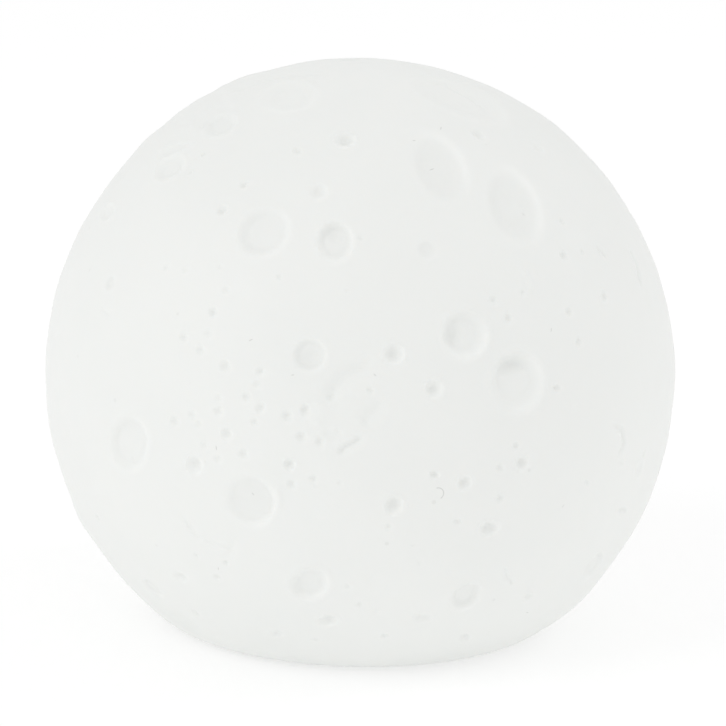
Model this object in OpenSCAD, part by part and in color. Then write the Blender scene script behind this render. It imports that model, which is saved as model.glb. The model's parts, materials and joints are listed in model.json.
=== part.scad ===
// Moon night light: a soft cratered ball shade over a rechargeable light core.
// Millimetres, +Z up. The front is -Y and the charging port is at +Y.
// The origin is on the resting surface, under the middle of the ball.

/* [Shade] */
// Diameter of the ball
shade_d = 150; // [146:1:160]
// Height of the ball's centre, as a share of its radius
centre_ratio = 0.8; // [0.78:0.01:0.82]
// Wall thickness of the soft shade
shade_wall = 3; // [2.5:0.5:3.5]
// Radius of the rounded edge at the flat bottom
foot_fillet = 12; // [11:0.5:13]
// Depth of all craters, as a share of their normal depth
crater_depth = 1; // [0.5:0.1:1.2]
// Height of the collar that grips the core
collar_h = 16; // [14:0.5:20]

/* [Core] */
// Outside diameter of the core housing
core_d = 67.7; // [67.5:0.1:68]
// Wall thickness of the core housing
core_wall = 2.05; // [1.8:0.05:2.1]
// Height of the underside of the deck that carries the light board
deck_z = 25; // [25:0.5:28]
// Outside radius of the diffuser dome
dome_r = 31.5; // [31:0.1:31.6]
// Wall thickness of the diffuser dome
dome_wall = 1.6; // [1.2:0.1:2]

/* [Controls] */
// Diameter of the mode button
button_d = 7.6; // [7:0.1:7.6]
// Travel of the mode button
button_travel = 0.4; // [0.3:0.05:0.5]
// Travel of the power slider
slider_travel = 2; // [1.5:0.1:2]

/* [Battery] */
// Diameter of the cell
cell_d = 14.2; // [13.8:0.1:14.2]
// Length of the cell
cell_l = 50; // [48:0.5:50]

/* [Light board] */
// Light chips in the outer ring
ring_leds = 12; // [8:1:12]
// Radius of the outer ring of light chips
ring_r = 16.5; // [15:0.5:16.5]

/* [Hidden] */
$fn = 96;

// ---- shade ----
R = shade_d / 2;
CZ = R * centre_ratio;                      // ball centre
FX = sqrt(pow(R - foot_fillet, 2) - pow(CZ - foot_fillet, 2));  // fillet centre, radial
// craters: [azimuth from the front towards +X, elevation, angular radius, depth]
CRATERS = [
    [-21, 37, 4.4, 0.5], [21, 50, 5.8, 0.7], [36, 41, 6.2, 0.8], [28, 11, 4.6, 1.5],
    [19, 20, 3.6, 1.2], [-6, 36, 3.1, 0.9], [-43, -3, 4.1, 0.6], [-18, -10, 4.6, 0.5],
    [-9, 16, 2.6, 0.6], [-9, -26, 3.3, 0.6], [23, -30, 2.7, 0.6], [-42, 69, 5.2, 0.6],
    [54, 69, 7.0, 0.8], [-58, 46, 2.8, 0.5], [-55, 57, 2.8, 0.5], [69, 26, 4.2, 0.6],
    [52, -2, 3.4, 0.5],
    [98, 24, 6.5, 0.8], [118, -6, 4.4, 1.2], [140, 33, 5.2, 0.7], [161, 8, 4.0, 1.0],
    [178, 47, 7.0, 0.8], [-158, 18, 4.8, 1.3], [-140, -12, 5.6, 0.6], [-121, 36, 4.4, 0.6],
    [-104, 10, 5.0, 0.8], [-84, -22, 3.6, 0.6], [160, -22, 3.4, 0.6], [130, 64, 5.0, 0.6]
];

// ---- core ----
core_r = core_d / 2;
core_ri = core_r - core_wall;
plate_r = core_r + 2.15;                    // base plate's flange
plate_z = 0.8;                              // its underside
plate_top = 2.8;
rebate_r = plate_r + 0.3;
collar_r = core_r + 0.15;
deck_top = deck_z + 2;
rim_z = deck_top + 2.5;
skirt_r = 31.7;                             // dome's seat inside the rim
window_angles = [60, 180, 300];
boss_r = 27.9;
boss_angles = [30, 150, 270];
led_screw_r = 22;
led_screw_angles = [90, 210, 330];
foot_r = 29;
foot_angles = [60, 120, 240, 300];
lead_x = -3.2;
lead_y = -21.8;

// ---- control board ----
pcb_z = 7;
pcb_top = 8.6;
pcb_posts = [[-16.5, 17], [16.5, 17], [-17, -16], [17, -16]];
btn = [-10, -10];
sld = [10, -10];
cell_y = 2;
cell_z = 17.2;
cell_r = cell_d / 2;
port_z = 5.37;

// ---- helpers ----
// closed outline of a rectangle with rounded corners
function round_rect(w, h, r, n = 6) = [
    for (c = [[w/2 - r, h/2 - r, 0], [-w/2 + r, h/2 - r, 90], [-w/2 + r, -h/2 + r, 180], [w/2 - r, -h/2 + r, 270]])
        for (i = [0:n]) [c[0] + r * cos(c[2] + 90 * i / n), c[1] + r * sin(c[2] + 90 * i / n)]];

// direction on the ball from azimuth and elevation
function ball_dir(az, el) = [cos(el) * sin(az), -cos(el) * cos(az), sin(el)];

// a smooth line through hand-placed points
function cr_point(a, b, c, d, t) = 0.5 * ((2 * b) + (c - a) * t + (2 * a - 5 * b + 4 * c - d) * t * t
    + (3 * b - a - 3 * c + d) * t * t * t);
function smooth_line(P, m = 3) = concat([
    for (i = [0:len(P) - 2], j = [0:m - 1])
        cr_point(P[max(i - 1, 0)], P[i], P[i + 1], P[min(i + 2, len(P) - 1)], j / m)], [P[len(P) - 1]]);
function unit(v) = v / norm(v);
function tangents(P) = [for (i = [0:len(P) - 1]) unit(P[min(i + 1, len(P) - 1)] - P[max(i - 1, 0)])];
function normals(T, i = 0, acc = []) = i >= len(T) ? acc :
    let (p = i == 0 ? (abs(T[0][0]) < 0.9 ? [1, 0, 0] : [0, 1, 0]) : acc[i - 1], q = p - (p * T[i]) * T[i])
    normals(T, i + 1, concat(acc, [unit(q)]));

// an insulated wire along a line of points, which leaves along t0 and arrives along t1
module wire(points, d, t0, t1, sides = 8) {
    P = smooth_line(points);
    M = tangents(P);
    T = [for (i = [0:len(P) - 1]) i == 0 ? t0 : i == len(P) - 1 ? t1 : M[i]];
    N = normals(T);
    n = len(P);
    verts = [for (i = [0:n - 1]) let (u = N[i], v = cross(T[i], N[i]))
        for (k = [0:sides - 1]) P[i] + d / 2 * (cos(360 * k / sides) * u + sin(360 * k / sides) * v)];
    faces = concat([[for (k = [0:sides - 1]) k]],
        [for (i = [0:n - 2], k = [0:sides - 1])
            [i * sides + k, (i + 1) * sides + k, (i + 1) * sides + (k + 1) % sides, i * sides + (k + 1) % sides]],
        [[for (k = [sides - 1:-1:0]) (n - 1) * sides + k]]);
    polyhedron(points = verts, faces = faces, convexity = 4);
}

// pan-head cross-recess screw, thread down, head from z = 0 up
module pan_screw(d, l, hd, hh) {
    difference() {
        rotate_extrude() polygon([[0, -l], [d * 0.25, -l], [d / 2, -l + d * 0.5], [d / 2, 0], [hd / 2, 0],
            [hd / 2, hh * 0.45], [hd * 0.42, hh * 0.8], [hd * 0.27, hh], [0, hh]]);
        for (a = [0, 90]) rotate([0, 0, a])
            translate([-hd * 0.3, -hd * 0.07, hh * 0.4]) cube([hd * 0.6, hd * 0.14, hh]);
    }
}

// ---- shade pieces ----
// flat-bottomed ball outline, drawn in by t from the outer surface
module ball_profile(t = 0) {
    f = foot_fillet - t;
    a = atan2(CZ - foot_fillet, FX);
    difference() {
        intersection() {
            translate([0, CZ]) circle(r = R - t, $fn = 180);
            translate([0, t]) square([R + 5, 2 * R]);
        }
        difference() {
            polygon([[FX, foot_fillet], [FX, -2], [FX + 24 * cos(a), foot_fillet - 24 * sin(a)]]);
            translate([FX, foot_fillet]) circle(r = f, $fn = 120);
        }
    }
}

module collar_profile() {
    w = 3.2;
    polygon([[collar_r, plate_top + 0.1], [collar_r + w, plate_top + 0.1], [collar_r + w, collar_h - 1],
        [collar_r + w - 0.3, collar_h - 0.4], [collar_r + w - 0.9, collar_h], [collar_r + 0.9, collar_h],
        [collar_r + 0.3, collar_h - 0.4], [collar_r, collar_h - 1]]);
}

// the tool that sinks one crater into the ball
module crater(az, el, ang, d) {
    k = R * (1 - cos(ang)) - d;
    rs = -(pow(R * sin(ang), 2) + k * k) / (2 * k);
    translate([0, 0, CZ] + ball_dir(az, el) * (R - d + rs)) sphere(r = rs, $fn = 96);
}

module plug_notch() {
    translate([0, 0, 1]) rotate([-90, 0, 0]) translate([0, 0, core_r - 4])
        linear_extrude(30) polygon([for (p = round_rect(15, 16, 2.5)) p]);
}

module moon_shade() {
    color("white") difference() {
        union() {
            rotate_extrude($fn = 180) difference() {
                ball_profile();
                ball_profile(shade_wall);
                translate([0, -1]) square([rebate_r, 5]);
            }
            rotate_extrude($fn = 120) collar_profile();
            // solid rubber round the plug notch, from the collar to the wall
            intersection() {
                rotate_extrude($fn = 180) ball_profile(shade_wall / 2);
                translate([-10, collar_r + 1.5, 0]) cube([20, 40, 11.5]);
            }
        }
        plug_notch();
        for (c = CRATERS) crater(c[0], c[1], c[2], max(c[3] * crater_depth, R * (1 - cos(c[2])) + 0.02));
    }
}

// ---- core pieces ----
module core_housing() {
    color("whitesmoke") difference() {
        union() {
            rotate_extrude() polygon([[core_ri, plate_top], [core_r - 0.4, plate_top], [core_r, plate_top + 0.4],
                [core_r, rim_z - 0.3], [core_r - 0.3, rim_z], [skirt_r + 0.3, rim_z], [skirt_r, rim_z - 0.3],
                [skirt_r, deck_top], [0, deck_top], [0, deck_z], [core_ri, deck_z]]);
            for (a = boss_angles) rotate([0, 0, a]) {
                translate([boss_r, 0, plate_top + 2]) cylinder(r = 3.2, h = deck_z - plate_top - 1.5, $fn = 48);
                translate([boss_r, -0.8, plate_top + 2]) cube([core_ri - boss_r + 0.5, 1.6, deck_z - plate_top - 1.5]);
            }
            for (a = led_screw_angles) rotate([0, 0, a])
                translate([led_screw_r, 0, deck_z - 4]) cylinder(r = 2.5, h = 4.5, $fn = 48);
        }
        // screw pilots
        for (a = boss_angles) rotate([0, 0, a])
            translate([boss_r, 0, plate_top + 1]) cylinder(r = 1.32, h = 9, $fn = 32);
        for (a = led_screw_angles) rotate([0, 0, a])
            translate([led_screw_r, 0, deck_z - 2.6]) cylinder(r = 1.02, h = 6, $fn = 32);
        // lead hole and vents in the deck
        translate([lead_x, lead_y, deck_z - 1]) cylinder(d = 4, h = 4, $fn = 48);
        // rear window for the port tunnel
        translate([-9.1, core_ri - 6, plate_top - 1]) cube([18.2, 12, 8.8]);
        // snap windows for the dome
        for (a = window_angles) rotate([0, 0, a])
            translate([skirt_r - 1, -3.3, deck_top + 0.6]) cube([6, 6.6, 1.4]);
    }
}

module base_plate() {
    color("gainsboro") difference() {
        union() {
            rotate_extrude() polygon([[0, plate_z], [plate_r - 0.5, plate_z], [plate_r, plate_z + 0.5],
                [plate_r, plate_top], [0, plate_top]]);
            for (a = boss_angles) rotate([0, 0, a])
                translate([boss_r, 0, plate_top - 0.5]) cylinder(r = 3.4, h = 2.5, $fn = 48);
            for (p = pcb_posts) translate([p[0], p[1], plate_top - 0.5]) cylinder(r = 2.5, h = pcb_z - plate_top + 0.5, $fn = 48);
            // port tunnel
            intersection() {
                translate([-9, 25.2, plate_top - 0.5]) cube([18, 12, 8.2]);
                translate([0, 0, -1]) cylinder(r = core_r, h = 20);
            }
        }
        // plug channel
        translate([-7.5, 26.7, -1]) cube([15, 14, 10]);
        // socket slot in the port wall
        translate([0, 27.5, port_z]) rotate([90, 0, 0]) linear_extrude(4) polygon(round_rect(9.4, 3.7, 1.7));
        // light pipe hole
        translate([6.3, 24, 6]) rotate([-90, 0, 0]) cylinder(r = 0.95, h = 4, $fn = 32);
        // screw holes
        for (a = boss_angles) rotate([0, 0, a]) translate([boss_r, 0, 0]) {
            translate([0, 0, plate_z - 1]) cylinder(r = 2.6, h = 2.4, $fn = 48);
            cylinder(r = 1.4, h = 6, $fn = 32);
        }
        for (p = pcb_posts) translate([p[0], p[1], 4.4]) cylinder(r = 1.02, h = 5, $fn = 32);
        // foot pockets
        for (a = foot_angles) rotate([0, 0, a]) translate([foot_r, 0, plate_z - 1]) cylinder(r = 4.7, h = 1.6, $fn = 64);
        // button hole
        translate([btn[0], btn[1], 0]) cylinder(d = button_d + 0.4, h = 5, $fn = 64);
        translate([btn[0], btn[1], plate_z - 1]) cylinder(d = button_d + 4, h = 1.3, $fn = 64);
        // slider slot and its finger recess
        translate([sld[0], sld[1], 0]) linear_extrude(5) polygon(round_rect(4 + slider_travel, 3.2, 0.4, 3));
        translate([sld[0], sld[1], plate_z - 1]) linear_extrude(1.5) polygon(round_rect(10, 6, 2));
    }
}

module rubber_feet() {
    color("dimgray") for (a = foot_angles) rotate([0, 0, a]) translate([foot_r, 0, 0])
        rotate_extrude($fn = 64) polygon([[0, 0], [4, 0], [4.5, 0.5], [4.5, 1.4], [0, 1.4]]);
}

module base_screws() {
    color("silver") for (a = boss_angles) rotate([0, 0, a]) translate([boss_r, 0, plate_z + 1.4])
        mirror([0, 0, 1]) pan_screw(2.6, 8, 4.6, 1.3);
}

module diffuser_dome() {
    z0 = deck_top + 2;                      // centre of the dome
    color("white") difference() {
        union() {
            rotate_extrude($fn = 120) difference() {
                union() {
                    intersection() {
                        translate([0, z0]) circle(r = dome_r, $fn = 120);
                        translate([0, z0]) square([dome_r + 5, dome_r + 5]);
                    }
                    translate([0, deck_top]) square([skirt_r - 0.1, 2.4]);
                }
                intersection() {
                    translate([0, z0]) circle(r = dome_r - dome_wall, $fn = 120);
                    translate([0, z0]) square([dome_r + 5, dome_r + 5]);
                }
                translate([0, deck_top - 1]) square([dome_r - dome_wall, 3.2]);
            }
            for (a = window_angles) rotate([0, 0, a])
                intersection() {
                    translate([skirt_r - 1, -3, deck_top + 0.8]) cube([6, 6, 0.95]);
                    cylinder(r = skirt_r + 1.1, h = 60);
                }
        }
    }
}

// ---- light board ----
module led_board() {
    color("white") translate([0, 0, deck_top]) linear_extrude(1.2) difference() {
        circle(r = 27);
        translate([lead_x, lead_y]) circle(d = 4, $fn = 48);
        for (a = led_screw_angles) rotate([0, 0, a]) translate([led_screw_r, 0]) circle(r = 1.2, $fn = 32);
    }
}

module led_chip() {
    translate([-1.4, -1.75, 0]) difference() {
        cube([2.8, 3.5, 0.8]);
        translate([1.4, 1.75, 0.55]) cylinder(r = 1.1, h = 1, $fn = 32);
    }
}

module led_chips() {
    color("lightyellow") translate([0, 0, deck_top + 1.2]) {
        for (i = [0:ring_leds - 1]) rotate([0, 0, i * 360 / ring_leds]) translate([ring_r, 0, 0]) led_chip();
        for (i = [0:2]) rotate([0, 0, 90 + i * 120]) translate([6, 0, 0]) led_chip();
    }
}

module led_board_screws() {
    color("silver") for (a = led_screw_angles) rotate([0, 0, a])
        translate([led_screw_r, 0, deck_top + 1.2]) pan_screw(2, 5, 3.8, 1.3);
}

LED_LEAD = [[0, 0, pcb_top], [0, 0, 14], [0, 0, 21], [0, 0, deck_top], [0, 0.3, deck_top + 2.1],
    [0, 1.4, deck_top + 2.9], [0, 2.6, deck_top + 2.2], [0, 2.9, deck_top + 1.2]];
module led_lead_red() {
    color("firebrick") translate([lead_x - 0.9, lead_y, 0]) wire(LED_LEAD, 1.2, [0, 0, 1], [0, 0, -1]);
}
module led_lead_black() {
    color("black") translate([lead_x + 0.9, lead_y, 0]) wire(LED_LEAD, 1.2, [0, 0, 1], [0, 0, -1]);
}

// ---- control board ----
module control_board() {
    color("darkgreen") translate([0, 0, pcb_z]) linear_extrude(pcb_top - pcb_z) difference() {
        intersection() {
            circle(r = 29.3);
            translate([-20, -23.5]) square([40, 48]);
        }
        for (p = pcb_posts) translate(p) circle(r = 1.15, $fn = 32);
    }
}

module board_screws() {
    color("silver") for (p = pcb_posts) translate([p[0], p[1], pcb_top]) pan_screw(2, 4, 3.8, 1.3);
}

module usb_socket() {
    color("silver") difference() {
        translate([0, 24.9, port_z]) rotate([90, 0, 0]) linear_extrude(7.35) polygon(round_rect(8.94, 3.26, 1.5));
        translate([0, 26, port_z]) rotate([90, 0, 0]) linear_extrude(7.85) polygon(round_rect(8.34, 2.66, 1.2));
    }
}

module usb_tongue() {
    color("dimgray") translate([-3.35, 18.15, port_z - 0.35]) cube([6.7, 6.1, 0.7]);
}

module indicator_led() {
    color("lightyellow") translate([5.5, 21.1, pcb_z - 0.9]) difference() {
        cube([1.6, 0.9, 0.9]);
        translate([0.35, 0.6, 0.25]) cube([0.9, 1, 0.4]);
    }
}

module light_pipe() {
    color("lightcyan") translate([6.3, 23, 6]) rotate([-90, 0, 0])
        rotate_extrude($fn = 48) polygon([[0, 0], [0.9, 0], [0.9, 3.5], [0.6, 3.9], [0, 3.9]]);
}

module tact_switch() {
    color("dimgray") translate([btn[0], btn[1], 0]) difference() {
        union() {
            translate([-3, -3, 4.6]) cube([6, 6, 2.4]);
            translate([0, 0, 4.4]) cylinder(r = 2.4, h = 0.4, $fn = 48);
        }
        translate([0, 0, 4]) cylinder(r = 1.8, h = 1.9, $fn = 48);
    }
}

module tact_plunger() {
    color("black") translate([btn[0], btn[1], 3.4]) cylinder(r = 1.7, h = 1.8, $fn = 48);
}

module mode_button() {
    b = button_d / 2;
    color("whitesmoke") translate([btn[0], btn[1], 0]) rotate_extrude($fn = 72)
        polygon([[0, 1.25], [b * 0.6, 1.15], [b - 0.4, 1.1], [b, 1.5], [b, plate_top], [b + 1, plate_top],
            [b + 1, 3.4], [0, 3.4]]);
}

module switch_body() {
    color("silver") translate([sld[0], sld[1], 0]) difference() {
        translate([-4.3, -1.85, 3.5]) cube([8.6, 3.7, 3.5]);
        translate([-2.1, -0.75, 3]) cube([4.2, 1.5, 1.8]);
    }
}

module power_slider() {
    color("dimgray") translate([sld[0] - 1, sld[1], 0]) union() {
        difference() {
            translate([-1.8, -1.4, 1.1]) cube([3.6, 2.8, 1.9]);
            for (x = [-1, 0, 1]) translate([x - 0.15, -2, 1]) cube([0.3, 4, 0.35]);
        }
        translate([-4.5, -2.5, 2.85]) cube([9, 5, 0.5]);
        translate([-0.75, -0.65, 3.2]) cube([1.5, 1.3, 1.4]);
    }
}

// ---- battery ----
module along_x(x) { translate([x, cell_y, cell_z]) rotate([0, 90, 0]) children(); }

module battery_cell() {
    r = cell_r;
    color("steelblue") along_x(-cell_l / 2) rotate_extrude($fn = 96)
        polygon([[0, 0], [r - 0.4, 0], [r, 0.4], [r, cell_l - 2.6], [r - 0.35, cell_l - 2.2], [r, cell_l - 1.8],
            [r, cell_l - 0.9], [r - 0.5, cell_l - 0.5], [3.2, cell_l - 0.5], [3, cell_l], [0, cell_l]]);
}

module battery_tabs() {
    color("silver") {
        translate([cell_l / 2, cell_y - 2, cell_z - 2]) cube([0.3, 4, 6]);
        translate([-cell_l / 2 - 0.3, cell_y - 2, cell_z - 2]) cube([0.3, 4, 6]);
    }
}

module battery_pads() {
    color("darkslategray") difference() {
        for (x = [-15, 15]) {
            translate([x - 3, cell_y - 6, pcb_top]) cube([6, 12, 4.6]);
            translate([x - 3, cell_y - 5, deck_z - 3]) cube([6, 10, 3]);
        }
        along_x(-30) cylinder(r = cell_r + 0.02, h = 60);
    }
}

module battery_lead_red() {
    e = cell_l / 2 + 0.3;
    color("firebrick") wire([[e, 2, 19.5], [e + 1.2, 1.6, 19.5], [27.4, -1.5, 19.4], [24, -6.5, 19.3], [18, -9.8, 19.5],
        [14.4, -11.8, 19.2], [13, -12.25, 18], [13, -12.25, 17]], 1.3, [1, 0, 0], [0, 0, -1]);
}

module battery_lead_black() {
    e = -cell_l / 2 - 0.3;
    color("black") wire([[e, 2, 19.5], [e - 1.2, 1.6, 19.5], [-27.2, -1.5, 19.4], [-23.5, -6.5, 19.3], [-14, -7.6, 19],
        [-3, -7.6, 19.2], [6, -8.6, 19.6], [10.2, -11.2, 19.4], [11, -12.25, 18], [11, -12.25, 17]], 1.3, [-1, 0, 0], [0, 0, -1]);
}

module battery_connector() {
    color("ivory") difference() {
        translate([9, -14.5, pcb_top]) cube([6, 4.5, 6]);
        translate([9.7, -13.8, pcb_top + 1.6]) cube([4.6, 3.1, 6]);
        translate([11.2, -15, pcb_top + 3]) cube([1.6, 1.5, 6]);
    }
}

module battery_plug() {
    color("ivory") union() {
        translate([9.8, -13.7, pcb_top + 1.6]) cube([4.4, 2.9, 6.8]);
        translate([11.4, -14.1, pcb_top + 3.4]) cube([1.2, 0.6, 4.2]);
    }
}

// ---- other board parts ----
module tap_sensor() {
    color("goldenrod") union() {
        translate([-14.25, -14, 11.2]) rotate([0, 90, 0]) rotate_extrude($fn = 64)
            polygon([[0, 0], [2.3, 0], [2.5, 0.2], [2.5, 10], [2.2, 10.1], [2.2, 11.5], [0, 11.5]]);
        for (y = [-15, -13]) {
            translate([-3.2, y, 11.2]) rotate([0, 90, 0]) cylinder(r = 0.3, h = 1.1, $fn = 16);
            translate([-2.2, y, pcb_top]) cylinder(r = 0.35, h = 2.95, $fn = 16);
        }
    }
}

module capacitor() {
    color("silver") translate([4, -17, pcb_top]) union() {
        rotate_extrude($fn = 72) polygon([[0, 0.9], [3, 0.9], [3, 1.6], [2.8, 1.9], [3, 2.2], [3, 6.7], [2.7, 7], [0, 7]]);
        translate([-3.2, -3.2, 0]) cube([6.4, 6.4, 1]);
    }
}

module inductor() {
    color("dimgray") translate([2, -8.2, pcb_top]) union() {
        translate([-3, -3, 0]) cube([6, 6, 0.8]);
        cylinder(r = 2.2, h = 2.4, $fn = 48);
        translate([-3, -3, 2.2]) linear_extrude(0.8) translate([3, 3]) polygon(round_rect(6, 6, 1.2, 3));
    }
}

// a small moulded chip with its legs along two sides
module chip(x, y, l, w, h, legs, a = 0) {
    translate([x, y, pcb_top]) rotate([0, 0, a]) union() {
        translate([-l / 2, -w / 2, 0.1]) cube([l, w, h]);
        for (i = [0:legs - 1], s = [-1, 1])
            translate([-l / 2 + (i + 0.5) * l / legs - 0.2, s * (w / 2 + 0.4) - 0.45, 0]) cube([0.4, 0.9, 0.35]);
    }
}

module control_chips() {
    color("black") union() {
        chip(-4, 15.5, 9.9, 3.9, 1.45, 8);
        chip(8.5, 15.5, 4.9, 3.9, 1.45, 4);
        chip(3.2, 20.5, 2.9, 1.3, 1, 3);
        chip(-7, 20.8, 2.9, 1.3, 1, 3);
        chip(-14, -5.5, 2.9, 1.3, 1, 3, 90);
        for (i = [0:4]) chip(-12 + i * 2.4, 11, 1.6, 0.8, 0.5, 1);
    }
}

moon_shade();
core_housing();
base_plate();
rubber_feet();
base_screws();
diffuser_dome();
led_board();
led_chips();
led_board_screws();
led_lead_red();
led_lead_black();
control_board();
board_screws();
usb_socket();
usb_tongue();
indicator_led();
light_pipe();
tact_switch();
tact_plunger();
mode_button();
switch_body();
power_slider();
battery_cell();
battery_tabs();
battery_pads();
battery_lead_red();
battery_lead_black();
battery_connector();
battery_plug();
tap_sensor();
capacitor();
inductor();
control_chips();
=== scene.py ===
import json
import math

import bpy
import numpy as np
from mathutils import Matrix, Vector


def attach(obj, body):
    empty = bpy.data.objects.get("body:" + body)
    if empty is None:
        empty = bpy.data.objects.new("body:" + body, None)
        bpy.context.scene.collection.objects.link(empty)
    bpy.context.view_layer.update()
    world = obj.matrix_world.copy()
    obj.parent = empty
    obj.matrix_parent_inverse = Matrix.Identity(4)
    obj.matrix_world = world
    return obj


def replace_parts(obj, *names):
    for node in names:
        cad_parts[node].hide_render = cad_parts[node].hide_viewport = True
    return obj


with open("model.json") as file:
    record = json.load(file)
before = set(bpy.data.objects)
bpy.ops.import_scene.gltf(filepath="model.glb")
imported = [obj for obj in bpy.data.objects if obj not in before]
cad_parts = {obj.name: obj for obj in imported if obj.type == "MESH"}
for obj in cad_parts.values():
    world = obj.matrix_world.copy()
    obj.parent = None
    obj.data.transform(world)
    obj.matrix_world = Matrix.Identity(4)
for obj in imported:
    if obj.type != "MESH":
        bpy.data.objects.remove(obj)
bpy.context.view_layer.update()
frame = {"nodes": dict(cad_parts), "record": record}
NODES = frame["nodes"]

# ---------------------------------------------------------------- camera model
# The photograph's view: 726 px square, the ball's centre and its radius in px, the distance in
# ball radii, the camera's height above the horizon and its roll.
PX, PY, PS, PD = 359.9, 372.6, 313.6, 12.0
ELEV, ROLL = math.radians(13.3), math.radians(-1.45)
R, ZC = 75.0, 60.0  # ball radius and the height of its centre, mm
CR, SR = math.cos(ROLL), math.sin(ROLL)
BACK = np.array([0, -math.cos(ELEV), math.sin(ELEV)])
RIGHT = np.array([1.0, 0, 0])
UP = np.array([0, math.sin(ELEV), math.cos(ELEV)])


def on_ball(x, y):
    """Unit vector from the ball's centre to the point that shows at px (x, y)."""
    a, q = (x - PX) / PS, -(y - PY) / PS
    sx, sy = CR * a + SR * q, -SR * a + CR * q
    eye = PD * BACK
    d = sx * RIGHT + sy * UP - eye
    d /= np.linalg.norm(d)
    m = eye @ d
    disc = m * m - (eye @ eye - 1)
    p = eye + d * (-m - math.sqrt(max(disc, 0.0)))
    return p / np.linalg.norm(p)


def on_photo(p):
    """px of points given in ball radii from the ball's centre."""
    p = np.asarray(p)
    d = PD - p @ BACK
    sx, sy = (p @ RIGHT) * PD / d, (p @ UP) * PD / d
    return np.stack([PX + PS * (CR * sx - SR * sy), PY - PS * (SR * sx + CR * sy)], -1)


def from_angles(az, el):
    a, e = math.radians(az), math.radians(el)
    return np.array([math.cos(e) * math.sin(a), -math.cos(e) * math.cos(a), math.sin(e)])


def basis(c):
    e1 = np.cross([0, 0, 1.0], c)
    if np.linalg.norm(e1) < 1e-3:
        e1 = np.array([1.0, 0, 0])
    e1 /= np.linalg.norm(e1)
    return e1, np.cross(c, e1)


# ---------------------------------------------------------------- craters
# One list of dips: centre, tangent axes, a quadratic form for the outline (1 at the rim), depth,
# width of the wall as a share of the radius, height of the rim, roundness of the floor.
DIPS = []
KINDS = {  # wall width, rim share of depth, floor roundness, painted shade on the floor, painted highlight on the rim
    "flat": (0.30, 0.16, 0.04, 0.35, 0.6),
    "disc": (0.24, 0.06, 0.02, 0.80, 0.7),
    "half": (0.62, 0.08, 0.04, 0.80, 1.0),
    "far": (0.50, 0.24, 0.10, 0.0, 0.3),
    "bowl": (0.42, 0.18, 0.10, 0.0, 1.0),
    "dark": (0.36, 0.16, 0.12, 0.40, 0.8),
    "worn": (0.36, 0.10, 0.12, 0.45, 0.3),
    "inner": (0.95, 0.0, 0.05, 0.0, 0.0),
    "pit": (0.88, 0.20, 0.05, 0.25, 0.8),
    "small": (1.0, 0.12, 0.0, 0.25, 0.3),
    # a shallow dip that gets the strongest painted shade on its floor
    "shallow_dark": (0.60, 0.0, 0.0, 1.0, 0.2),
}


def dip(c, form, depth, kind, size, lean=(0.0, 0.0), far_side=(0.85, -0.5)):
    wall, rim, floor, dust_and_painted_shade, painted_highlight = KINDS[kind]
    e1, e2 = basis(c)
    DIPS.append(dict(c=c, e1=e1, e2=e2, q=form, d=depth, w=wall, rim=rim * depth, fl=floor, dust_and_painted_shade=dust_and_painted_shade, painted_highlight=painted_highlight,
                     r=size, lean=np.array(lean), side=np.array(far_side) / math.hypot(*far_side)))


def photo_dip(x, y, a, b, angle, depth, kind, lean=(0.0, 0.0), far_side=(0.85, 0.5)):
    """A dip at px (x, y). b = 0: round, a = its radius in px seen square on. Otherwise a and b are
    the half axes of the ellipse that shows in the photograph, a lying at the angle (y down).
    lean points in px to the side where it is deeper and steeper; its length is the share.
    far_side points in px to the part of the crest that gets a painted highlight; the painted shade on the floor lies
    more on the other side."""
    c = on_ball(x, y)
    e1, e2 = basis(c)
    h = 1e-3
    p0 = on_photo(c)
    J = np.stack([(on_photo(c + h * e) - p0) / (h * R) for e in (e1, e2)], -1)  # px per mm
    far_side = np.linalg.solve(J, far_side)
    strong = math.hypot(*lean)
    if strong:
        lean = np.linalg.solve(J, lean)
        lean *= strong / np.linalg.norm(lean)
    if not b:
        r = a / PS * R
        return dip(c, np.eye(2) / r**2, depth, kind, r, lean, far_side)
    t = math.radians(angle)
    u = np.array([math.cos(t), math.sin(t)])
    v = np.array([-u[1], u[0]])
    Q = np.outer(u, u) / a**2 + np.outer(v, v) / b**2
    form = J.T @ Q @ J
    size = 1 / math.sqrt(np.linalg.eigvalsh(form)[0])
    dip(c, form, depth, kind, min(size, 16.0), lean, far_side)


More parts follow.
